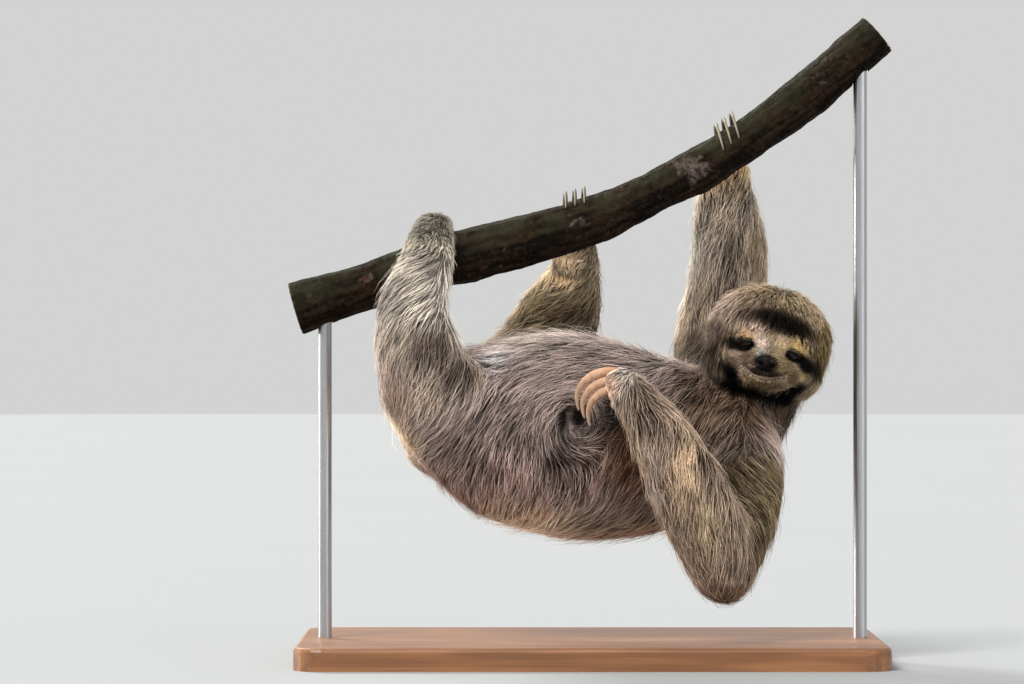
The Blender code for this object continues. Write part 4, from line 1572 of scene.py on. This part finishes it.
    def comb(self) -> None:
        """Work out the lie, length, width and density of the coat."""
        surface = self.surface
        points = surface.points
        flow = self.styled("lie") * 0.3
        for guide in GUIDES:
            gap = np.linalg.norm(points - guide.place.point(), axis=1) / (guide.reach * MM)
            pull = np.exp(-gap * gap) * self.near(guide.place.node)
            flow += pull[:, None] * unit(np.array(guide.towards))
        for swirl in SWIRLS:
            spoke = (points - swirl.place.point()) / (swirl.reach * MM)
            turn = np.cross(np.array((0.0, -1.0, 0.0)), spoke)
            pull = swirl.pull * np.exp(-np.sum(spoke * spoke, axis=1)) * self.near(swirl.place.node)
            flow += pull[:, None] * turn
        local = self.frame.local(points)
        crown = self.frame.world(unit(local - self.crown))
        out = self.frame.world(unit(local - self.muzzle) * (1.0, 0.0, 1.0))
        short = self.fields["short"][:, None]
        head = self.weights["head"][:, None]
        flow = flow * (1.0 - head) + head * (crown * (1.0 - short) + out * short)
        normals = self.normals
        for _ in range(3):
            flow -= normals * np.sum(flow * normals, axis=1, keepdims=True)
            flow = surface.blur(unit(flow), 2)
        wave = ripple(points, self.waves, 1.7)
        side = np.cross(normals, unit(flow))
        self.fields["flow"] = unit(unit(flow) + side * (self.wave_turn * wave)[:, None])
        bald = np.clip(self.fields["bare"] * 1.6, 0.0, 1.0)
        brink = np.clip(surface.blur(bald, 24) * 2.5, 0.0, 1.0)
        on_face = {"length": self.face_length - self.brink_length * brink, "width": self.face_width}
        for name, value in on_face.items():
            styled = surface.blur(self.styled(name), self.style_blur)
            self.fields[name] = styled * (1.0 - short[:, 0]) + value * short[:, 0]
        self.fields["density"] = surface.blur(self.styled("density"), 6) * (1.0 - bald)
        self.fields["bald"] = bald


# ---- coat


class Tuft:
    """One lock of hair as a closed three-sided spindle, kept as a template to be bent.

    For each level, stops says how far along it is, rise how high in the coat, taper how wide.
    """

    def __init__(self, rings: int) -> None:
        """Model the lock upright.

        Args:
            rings: Rings between its root and its tip, one or two.
        """
        bm = bmesh.new()
        top = 1.0 if rings == 2 else 0.0
        bmesh.ops.create_cone(
            bm, cap_ends=True, cap_tris=True, segments=3, radius1=1.0, radius2=top, depth=1.0
        )
        bmesh.ops.remove_doubles(bm, verts=bm.verts, dist=1e-5)
        bmesh.ops.translate(bm, verts=bm.verts, vec=(0.0, 0.0, 1.5))
        for vertex in bm.verts:
            if vertex.co.xy.length < 0.5 and (rings == 2 or vertex.co.z < 1.5):
                vertex.co.z += math.copysign(1.0, vertex.co.z - 1.5)
        bmesh.ops.triangulate(bm, faces=bm.faces)
        bmesh.ops.recalc_face_normals(bm, faces=bm.faces)
        bm.verts.index_update()
        places = np.array([vertex.co for vertex in bm.verts])
        self.level = np.rint(places[:, 2]).astype(int)
        self.offset = places[:, :2]
        self.faces = np.array([[vertex.index for vertex in face.verts] for face in bm.faces])
        self.levels = rings + 2
        self.stops = (0.0, 0.36, 0.70, 1.0) if rings == 2 else (0.0, 0.5, 1.0)
        self.rise = (-0.12, 0.55, 0.88, 1.0) if rings == 2 else (-0.3, 0.75, 1.0)
        self.taper = (0.0, 0.5, 0.42, 0.0) if rings == 2 else (0.0, 0.5, 0.0)
        bm.free()


@dataclass
class Growth:
    """Tufts that have grown but aren't meshed yet, one row for each in every array."""

    tuft: Tuft
    roots: Array
    paths: Array
    radii: Array
    marks: Array
    tones: Array
    normals: Array


@dataclass
class Coat:
    """The whole coat, grown from the skin's fields as thin overlapping tufts."""

    skin: Skin
    material: Material
    long_tufts: int = 108_000
    short_tufts: int = 29_000
    piece_limit: int = 15_500
    lock_spacing: float = 4.2 * MM
    drift_spacing: float = 16.0 * MM
    lock_grip: float = 0.7
    stray_from: float = 0.93
    length_spread: float = 0.22
    lean_spread: float = 0.12
    width_spread: float = 0.16
    flatness: float = 0.7
    shaggy_length: float = 28.0
    one_colour: float = 0.4
    patch: float = 0.003
    seed: int = 20
    rng: np.random.Generator = field(init=False)
    tree: BVHTree = field(init=False)
    face_values: dict = field(init=False)
    face_normals: Array = field(init=False)
    face_owner: Array = field(init=False)

    def build(self) -> list[Object]:
        """Grow the long coat stretch by stretch, then the short coat of the face.

        Returns:
            The pieces of the coat, the face's last.
        """
        self.rng = np.random.default_rng(self.seed)
        self.tree = self.skin.surface.tree()
        self.face_values = {
            name: self.skin.fields[name][self.skin.surface.faces].mean(axis=1)
            for name in ("flow", "length", "width", "depth", "colour", "density", "short", "bald")
        }
        self.face_normals = unit(self.skin.normals[self.skin.surface.faces].mean(axis=1))
        owners = np.argmax(np.stack([self.skin.weights[node] for node in FLESH], axis=1), axis=1)
        self.face_owner = owners[self.skin.surface.faces[:, 0]]
        areas = self.skin.surface.areas()
        furred = self.face_values["short"] < 0.5
        long_share = areas * self.face_values["density"] * furred
        short_share = areas * (1.0 - self.face_values["bald"]) * ~furred
        pieces = []
        roots, faces = self.scatter(long_share, self.long_tufts)
        growth = self.grow(roots, faces, Tuft(2))
        for region in Region:
            members = [FLESH.index(node) for node in region.value]
            chosen = np.flatnonzero(np.isin(self.face_owner[faces], members))
            pieces += self.cut_pieces(f"coat_{region.name.lower()}", growth, chosen)
        roots, faces = self.scatter(short_share, self.short_tufts)
        growth = self.grow(roots, faces, Tuft(1))
        return pieces + self.cut_pieces("coat_face", growth, np.arange(len(roots)))

    def scatter(self, shares: Array, count: int) -> tuple[Array, Array]:
        """Spread roots evenly over the faces by their shares.

        Args:
            shares: How many tufts each face should have, to any scale.
            count: Number of roots.

        Returns:
            The roots' places and the face of each.
        """
        total = np.cumsum(shares)
        marks = (np.arange(count) + self.rng.random(count)) / count * total[-1]
        faces = np.minimum(np.searchsorted(total, marks), len(shares) - 1)
        split = np.sqrt(self.rng.random(count))[:, None]
        slide = self.rng.random(count)[:, None]
        surface = self.skin.surface
        a, b, c = (surface.points[surface.faces[faces, corner]] for corner in range(3))
        return a * (1.0 - split) + b * split * (1.0 - slide) + c * split * slide, faces

    def settle(self, points: Array) -> tuple[Array, Array]:
        """Return the nearest places on the skin and their faces."""
        found = [self.tree.find_nearest(row) for row in points.tolist()]
        return np.array([hit[0] for hit in found]), np.array([hit[2] for hit in found])

    def grow(self, roots: Array, faces: Array, tuft: Tuft) -> Growth:
        """Run each tuft along the lie of the coat.

        Args:
            roots: Where the tufts start.
            faces: The skin's face under each root.
            tuft: The shape that they are going to get.

        Returns:
            The path of each tuft, its width, colours and tone.
        """
        values = self.face_values
        count = len(roots)
        spread = self.rng.normal(0.0, 1.0, (count, 4))
        fly = self.rng.random(count) > self.stray_from
        length = values["length"][faces] * MM
        length = length * np.clip(1.0 + self.length_spread * spread[:, 0], 0.5, 1.6)
        depth = values["depth"][faces] * MM
        lift = self.rng.random(count) ** 0.7
        reach = np.where(fly, 1.15 + 0.6 * self.rng.random(count) ** 2, 0.34 + 0.66 * lift)
        free = (np.where(fly, 0.7, 0.5) * self.rng.random(count) ** 2)[:, None]
        place = roots
        lean = self.lean_spread * spread[:, 1]
        path = [roots + self.face_normals[faces] * (tuft.rise[0] * depth)[:, None]]
        under = faces
        normals = [self.face_normals[faces]]
        marks = [values["colour"][faces]]
        for level in range(1, tuft.levels):
            flow = values["flow"][under]
            side = np.cross(self.face_normals[under], flow)
            heading = unit(flow + side * (lean * (0.4 + 0.6 * level))[:, None])
            step = length * (tuft.stops[level] - tuft.stops[level - 1])
            ahead = place + heading * step[:, None]
            place, under = self.settle(ahead)
            normal = self.face_normals[under]
            here = np.minimum(values["depth"][under] * MM, depth * 1.3)
            outward = np.sum((ahead - place) * normal, axis=1, keepdims=True)
            outward = np.maximum(outward, 0.0) * normal
            height = tuft.rise[level] * reach * here
            path.append(place + free * outward + normal * height[:, None])
            normals.append(normal)
            marks.append(values["colour"][under])
        paths = np.stack(path, axis=1)
        locks, drifts = self.gather(roots, paths)
        width = values["width"][faces] * MM
        width = width * np.clip(1.0 + self.width_spread * spread[:, 2], 0.6, 1.5)
        width = width * np.where(fly, 0.62, 1.0)
        shag = np.clip(values["length"][faces] / self.shaggy_length, 0.35, 1.0)
        # Painted shade and light: tufts lying lower in the coat get a darker tone and strays a
        # lighter one, on top of random tone by tuft, lock and drift.
        tone = 0.38 + (0.35 - 0.20 * shag) * spread[:, 3] + 0.42 * (lift - 0.59)
        tone += shag * (0.56 * (locks - 0.5) + 0.24 * (drifts - 0.5))
        tone = np.clip(np.where(fly, np.maximum(tone, 0.6), tone), 0.0, 1.0)
        marks = np.stack(marks, axis=1)
        marks += self.one_colour * (marks[:, tuft.levels - 2, None] - marks)
        normals = np.stack(normals, axis=1)
        return Growth(tuft, roots, paths, width[:, None] * tuft.taper, marks, tone, normals)

    def nearest_leaders(
        self, roots: Array, spacing: float
    ) -> tuple[Array, Array, Array]:
        """Pick leading tufts about a spacing apart.

        Args:
            roots: Where the tufts start.
            spacing: Distance between leaders.

        Returns:
            The leaders, each tuft's nearest leader as a place in that list, and its distance.
        """
        area = float(self.skin.surface.areas().sum())
        count = len(roots)
        leaders = self.rng.choice(count, min(count // 4, int(area / spacing**2)), replace=False)
        tree = KDTree(len(leaders))
        for number, leader in enumerate(leaders):
            tree.insert(roots[leader], number)
        tree.balance()
        found = [tree.find(row)[1:] for row in roots.tolist()]
        return leaders, np.array([hit[0] for hit in found]), np.array([hit[1] for hit in found])

    def gather(self, roots: Array, paths: Array) -> tuple[Array, Array]:
        """Draw tufts together into locks.

        Args:
            roots: Where the tufts start.
            paths: The points of each tuft, which are moved.

        Returns:
            A random number for each tuft's lock, and one for its drift of locks.
        """
        levels = paths.shape[1]
        leaders, lock, gap = self.nearest_leaders(roots, self.lock_spacing)
        drift_leaders, drift, _ = self.nearest_leaders(roots, self.drift_spacing)
        near = 1.0 - ease(gap, self.lock_spacing * 0.9, self.lock_spacing * 1.5)
        grip = self.rng.random(len(leaders))[lock] * self.lock_grip * near
        for level in range(1, levels):
            share = grip * (level / (levels - 1)) ** 1.3
            pull = paths[leaders[lock], level] - paths[:, level]
            paths[:, level] += pull * share[:, None]
        return self.rng.random(len(leaders))[lock], self.rng.random(len(drift_leaders))[drift]

    def cut_pieces(self, name: str, growth: Growth, chosen: Array) -> list[Object]:
        """Mesh a stretch of coat, split along its longest side where it is too much for one piece.

        Args:
            name: The stretch's name, which its pieces number.
            growth: All the tufts.
            chosen: Which of them are in the stretch.

        Returns:
            The stretch's pieces.
        """
        parts = max(1, math.ceil(len(chosen) / self.piece_limit))
        centred = growth.roots[chosen] - growth.roots[chosen].mean(axis=0)
        axis = np.linalg.svd(centred[:: max(1, len(centred) // 2000)], full_matrices=False)[2][0]
        ordered = chosen[np.argsort(centred @ axis)]
        pieces = []
        for number, members in enumerate(np.array_split(ordered, parts)):
            title = name if parts == 1 else f"{name}_{number + 1}"
            pieces.append(self.mesh_piece(title, growth, members, axis))
        return pieces

    def mesh_piece(
        self, name: str, growth: Growth, members: Array, axis: Array
    ) -> Object:
        """Bend a copy of the tuft along each chosen path and join them into one piece.

        Args:
            name: The piece's name.
            growth: All the tufts.
            members: Which of them are in the piece.
            axis: The long axis of the stretch, for its UV map.

        Returns:
            The new piece.
        """
        tuft = growth.tuft
        path = growth.paths[members]
        normal = growth.normals[members]
        ahead = np.concatenate((path[:, 1:], path[:, -1:]), axis=1)
        behind = np.concatenate((path[:, :1], path[:, :-1]), axis=1)
        tangent = unit(ahead - behind)
        side = unit(np.cross(normal, tangent))
        up = np.cross(tangent, side)
        radius = growth.radii[members][:, tuft.level, None]
        points = path[:, tuft.level] + radius * (
            tuft.offset[:, 0, None] * side[:, tuft.level]
            + self.flatness * tuft.offset[:, 1, None] * up[:, tuft.level]
        )
        count = len(members)
        corners = (np.arange(count)[:, None, None] * len(tuft.level) + tuft.faces).reshape(-1)
        mesh = bpy.data.meshes.new(name)
        mesh.vertices.add(points.shape[0] * points.shape[1])
        mesh.vertices.foreach_set("co", points.reshape(-1).astype(np.float32))
        mesh.loops.add(len(corners))
        mesh.loops.foreach_set("vertex_index", corners.astype(np.int32))
        mesh.polygons.add(len(corners) // 3)
        mesh.polygons.foreach_set("loop_start", np.arange(0, len(corners), 3, dtype=np.int32))
        mesh.update(calc_edges=True)
        mesh.shade_smooth()
        along = tuft.level / (tuft.levels - 1)
        spot = self.unwrap(growth.roots[members], axis)
        local = np.stack((tuft.offset[:, 0] * 0.5, along - 0.5), axis=1) * self.patch
        flat = (spot[:, None, :] + local[None, :, :]).reshape(-1, 2)
        layer = mesh.uv_layers.new(name="OFBake")
        layer.data.foreach_set("uv", flat[corners].reshape(-1).astype(np.float32))
        set_attribute(mesh, "mark", growth.marks[members][:, tuft.level].reshape(-1, 3))
        set_attribute(mesh, "tone", np.repeat(growth.tones[members], len(tuft.level)))
        set_attribute(mesh, "along", np.tile(along, count))
        piece = link_object(name, mesh)
        dress(piece, self.material)
        LOG.info("%s: %d tufts, %d triangles", name, count, len(mesh.polygons))
        return piece

    def unwrap(self, roots: Array, axis: Array) -> Array:
        """Unroll the roots round the stretch's own long axis onto the unit square.

        Args:
            roots: Where the piece's tufts start.
            axis: The stretch's long axis.

        Returns:
            The place of each root on the UV map.
        """
        middle = roots.mean(axis=0)
        across = (0.0, 1.0, 0.0) if abs(axis[1]) < 0.9 else (1.0, 0.0, 0.0)
        first = unit(np.cross(axis, across))
        second = np.cross(axis, first)
        offset = roots - middle
        angle = np.arctan2(offset @ second, offset @ first) / math.tau + 0.5
        height = offset @ axis
        height = (height - height.min()) / max(float(np.ptp(height)), 1e-6)
        return np.stack((angle, height), axis=1) * 0.96 + 0.02


# ---- other pieces


@dataclass
class Eyes:
    """Two round wet eyes in the sockets of the skin."""

    frame: HeadFrame
    material: Material
    segments: int = 40
    cornea: float = 0.06

    def build(self) -> list[Object]:
        """Make both eyes from the boxes of their nodes.

        Returns:
            The two eyes, each in place of its node.
        """
        pieces = []
        for node in ("left_eye", "right_eye"):
            low, high = (np.array(corner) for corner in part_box(node))
            radius = 0.5 * float(np.max(high - low))
            centre = 0.5 * (low + high)
            bm = bmesh.new()
            bmesh.ops.create_uvsphere(
                bm, u_segments=self.segments, v_segments=self.segments // 2, radius=radius
            )
            turn = Vector(self.frame.forward).to_track_quat("Z", "Y").to_matrix().to_4x4()
            for vertex in bm.verts:
                bulge = max(vertex.co.z / radius - 0.62, 0.0)
                vertex.co.z += self.cornea * radius * bulge
            matrix = Matrix.Translation(Vector(centre)) @ turn
            bmesh.ops.transform(bm, matrix=matrix, verts=bm.verts)
            mesh = bpy.data.meshes.new(f"{node}ball")
            bm.to_mesh(mesh)
            bm.free()
            mesh.shade_smooth()
            places = np.array([vertex.co for vertex in mesh.vertices])
            set_attribute(mesh, "gaze", unit(places - centre) @ self.frame.forward)
            piece = link_object(f"{node}ball", mesh)
            dress(piece, self.material)
            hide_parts(node)
            pieces.append(piece)
        return pieces


@dataclass
class Claws:
    """Twelve long curved claws, three to each hand and foot."""

    scratching: Material
    gripping: Material
    rounding: int = 2
    swell: float = 0.62 * MM
    scratching_swell: float = 1.25 * MM
    thickness: float = 4.0 * MM

    def build(self) -> list[Object]:
        """Make every claw from the shape of its node.

        Returns:
            The twelve claws, each in place of its node.
        """
        pieces = []
        for limb in ("left_hand", "right_hand", "left_foot", "right_foot"):
            for number in (1, 2, 3):
                pieces.append(self.claw(limb, f"{limb}_claw_{number}"))
        return pieces

    def claw(self, limb: str, node: str) -> Object:
        """Round one claw's faceted shape and mark how far along and around each point is.

        Args:
            limb: The hand or foot that it grows from.
            node: The claw's own node.

        Returns:
            The claw, in place of its node.
        """
        bm = merged_copy(node)
        limb_middle = node_middle(limb)
        gaps = np.array([np.linalg.norm(np.array(vertex.co) - limb_middle) for vertex in bm.verts])
        rest = 1.0 - ease(gaps, float(gaps.min()) + 0.35 * float(np.ptp(gaps)), float(gaps.max()))
        swell = self.scratching_swell if limb == "left_hand" else self.swell
        for vertex, share in zip(bm.verts, rest):
            vertex.co += vertex.normal * (swell * share)
        bmesh.ops.join_triangles(
            bm,
            faces=bm.faces,
            angle_face_threshold=math.radians(50),
            angle_shape_threshold=math.radians(60),
        )
        faceted = bpy.data.meshes.new(node)
        bm.to_mesh(faceted)
        bm.free()
        rough = link_object("rough", faceted)
        smooth = rough.modifiers.new("round", "SUBSURF")
        smooth.levels = self.rounding
        smooth.render_levels = self.rounding
        mesh = evaluated(rough)
        bpy.data.objects.remove(rough, do_unlink=True)
        mesh.shade_smooth()
        places = np.array([vertex.co for vertex in mesh.vertices])
        start = places[np.argmin(np.linalg.norm(places - limb_middle, axis=1))]
        run = np.linalg.norm(places - start, axis=1)
        set_attribute(mesh, "along", run / run.max())
        centred = places - places.mean(axis=0)
        bend = np.linalg.svd(centred, full_matrices=False)[2]
        set_attribute(mesh, "round", centred @ bend[2] / self.thickness)
        piece = link_object(f"{node}_horn", mesh)
        dress(piece, self.scratching if limb == "left_hand" else self.gripping)
        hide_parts(node)
        return piece


@dataclass(frozen=True)
class BarkScar:
    """A pale blotch of lichen on the branch, some with a red knot (mm)."""

    place: Place
    reach: float
    knot: float
    pale: float = 0.30


BARK_SCARS = (
    BarkScar(Place("perch", 0.667, 0.08, 0.525), 21.0, 0.0),
    BarkScar(Place("perch", 0.668, 0.10, 0.44), 9.0, 6.0, 0.05),
    BarkScar(Place("perch", 0.481, 0.05, 0.345), 11.0, 0.0, 0.16),
    BarkScar(Place("perch", 0.130, 0.10, 0.18), 10.0, 4.5),
    BarkScar(Place("perch", 0.320, 0.10, 0.21), 7.0, 4.0, 0.12),
    BarkScar(Place("perch", 0.880, 0.08, 0.80), 9.0, 0.0, 0.2),
)


@dataclass
class Branch:
    """The cut length of branch: bark all round, and two sawn ends."""

    bark: Material
    sawn: Material
    voxel: float = 1.7 * MM
    crack_depth: float = 0.55 * MM
    lump_height: float = 0.9 * MM
    bend_order: int = 6
    scar_shape: tuple = (1.0, 0.35, 1.35)

    def build(self) -> Object:
        """Remesh the perch finely and roughen its bark.

        Returns:
            The branch, in place of the perch's node.
        """
        mesh = fused([merged_copy("perch")], self.voxel)
        bm = bmesh.new()
        bm.from_mesh(mesh)
        keep_largest(bm)
        bmesh.ops.triangulate(bm, faces=bm.faces)
        bm.to_mesh(mesh)
        bm.free()
        surface = Surface(mesh)
        normals = surface.normals()
        x, z = surface.points[:, 0], surface.points[:, 2]
        course = np.polynomial.Polynomial.fit(x, z, self.bend_order)
        slope = course.deriv()(x)
        tangent = unit(np.stack((np.ones_like(x), np.zeros_like(x), slope), axis=1))
        ends = ease(np.abs(np.sum(normals * tangent, axis=1)), 0.55, 0.8)
        middle = np.stack((x, np.zeros_like(x), course(x)), axis=1)
        spoke = surface.points - middle
        spoke -= tangent * np.sum(spoke * tangent, axis=1, keepdims=True)
        across = unit(spoke)
        track = np.stack((x * 26.0, across[:, 1] * 3.2, across[:, 2] * 3.2), axis=1)
        cracks = np.array([noise.noise(Vector(row)) for row in track])
        crease = 1.0 - np.abs(cracks) * 3.0
        lumps = ripple(surface.points, 48.0, 5.0) + 0.5 * ripple(surface.points, 130.0, 9.0)
        push = self.lump_height * lumps - self.crack_depth * np.clip(crease, 0.0, 1.0)
        surface.points += normals * (push * (1.0 - ends))[:, None]
        mesh.vertices.foreach_set("co", surface.points.ravel())
        mesh.update()
        mesh.shade_smooth()
        set_attribute(mesh, "crack", np.clip(1.0 - np.clip(crease, 0.0, 1.0), 0.0, 1.0))
        set_attribute(mesh, "upward", normals[:, 2])
        set_attribute(mesh, "core", np.linalg.norm(spoke, axis=1))
        lichen = np.zeros(len(x))
        knot = np.zeros(len(x))
        for scar in BARK_SCARS:
            offset = (surface.points - scar.place.point()) * self.scar_shape
            gap = np.linalg.norm(offset, axis=1) / MM
            lichen = np.maximum(lichen, scar.pale * (1.0 - ease(gap, scar.reach * 0.4, scar.reach)))
            if scar.knot:
                knot = np.maximum(knot, 1.0 - ease(gap, scar.knot * 0.5, scar.knot))
        set_attribute(mesh, "lichen", lichen)
        set_attribute(mesh, "knot", knot)
        branch = link_object("branch", mesh)
        dress(branch, self.bark)
        mesh.materials.append(self.sawn)
        sawn = ends[surface.faces].mean(axis=1) > 0.5
        tips = np.abs(surface.points[surface.faces[:, 0], 0] - x.mean()) > 0.42 * float(np.ptp(x))
        mesh.polygons.foreach_set("material_index", (sawn & tips).astype(np.int32))
        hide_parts("perch")
        return branch


@dataclass
class Stand:
    """The base board and the two rods, kept as imported and refinished."""

    wood: Material
    steel: Material

    def build(self) -> None:
        """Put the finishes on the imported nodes."""
        finishes = {
            "stand_base": self.wood,
            "stand_rod_left": self.steel,
            "stand_rod_right": self.steel,
        }
        for node, material in finishes.items():
            for slot in NODES[node].material_slots:
                slot.material = material


@dataclass
class Studio:
    """Plain pale floor, soft light and the camera."""

    floor_material: Material
    floor_radius: float = 14.0
    floor_segments: int = 64
    camera_place: tuple = (-0.0624, -4.096, 0.2544)
    lens: float = 180.0
    sky: float = 0.80
    sky_tone: tuple = (232, 233, 232)
    lights: tuple = (
        ("key", (-0.50, -0.80, 1.05), 20.0, 3.1, (1.0, 0.975, 0.94)),
        ("fill", (0.80, -0.80, 0.25), 50.0, 0.8, (0.95, 0.97, 1.0)),
        ("rim", (-0.55, 0.85, 0.70), 20.0, 3.0, (1.0, 1.0, 0.98)),
        ("edge", (-0.95, 0.30, 0.08), 24.0, 1.7, (1.0, 0.98, 0.92)),
    )

    def build(self) -> None:
        """Make the floor, the sky, the lights and the camera."""
        bm = bmesh.new()
        bmesh.ops.create_circle(
            bm, cap_ends=True, segments=self.floor_segments, radius=self.floor_radius
        )
        bmesh.ops.recalc_face_normals(bm, faces=bm.faces)
        mesh = bpy.data.meshes.new("floor")
        bm.to_mesh(mesh)
        bm.free()
        floor = link_object("floor", mesh)
        mesh.materials.append(self.floor_material)
        world = bpy.data.worlds.new("studio")
        world.use_nodes = True
        background = world.node_tree.nodes["Background"]
        background.inputs["Color"].default_value = rgba(self.sky_tone)
        background.inputs["Strength"].default_value = self.sky
        bpy.context.scene.world = world
        bpy.context.scene.view_settings.view_transform = "Standard"
        for name, source, spread, power, tint in self.lights:
            lamp = bpy.data.lights.new(name, "SUN")
            lamp.angle = math.radians(spread)
            lamp.energy = power
            lamp.color = tint
            light = bpy.data.objects.new(name, lamp)
            light.location = source
            light.rotation_euler = Vector(source).to_track_quat("Z", "Y").to_euler()
            bpy.context.scene.collection.objects.link(light)
        lens = bpy.data.cameras.new("camera")
        lens.lens = self.lens
        camera = bpy.data.objects.new("camera", lens)
        camera.location = self.camera_place
        camera.rotation_euler = (math.radians(90.0), 0.0, 0.0)
        bpy.context.scene.collection.objects.link(camera)
        bpy.context.scene.camera = camera


def main() -> None:
    """Build the scene in order."""
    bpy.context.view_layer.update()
    effects = Effects()
    frame = HeadFrame()
    skin = Skin(frame, SkinFinish("sloth_skin").make(effects))
    piece = skin.build()
    LOG.info("%s: %d triangles", piece.name, len(piece.data.polygons))
    pieces = Coat(skin, CoatFinish("sloth_hair").make(effects)).build()
    total = sum(len(part.data.polygons) for part in pieces)
    LOG.info("coat: %d pieces, %d triangles", len(pieces), total)
    for part in Eyes(frame, EyeFinish("wet_eye").make(effects)).build():
        LOG.info("%s: %d faces", part.name, len(part.data.polygons))
    peach = HornFinish("peach_horn").make(effects)
    ivory = HornFinish("ivory_horn", (70, 60, 48), (118, 107, 91), (142, 132, 114)).make(effects)
    for part in Claws(peach, ivory).build():
        LOG.info("%s: %d faces", part.name, len(part.data.polygons))
    bark = BarkFinish("damp_bark").make(effects)
    branch = Branch(bark, SawnFinish("sawn_wood").make(effects)).build()
    LOG.info("%s: %d triangles", branch.name, len(branch.data.polygons))
    board = BoardFinish("oiled_board").make(effects)
    Stand(board, SteelFinish("brushed_rod").make(effects)).build()
    LOG.info("stand: base board and two rods refinished")
    Studio(FloorFinish("pale_floor").make(effects)).build()
    LOG.info("studio: floor, lights and camera")


if __name__ == "__main__":
    logging.basicConfig(level=logging.INFO, format="%(name)s: %(message)s")
    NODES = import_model()["nodes"]
    main()
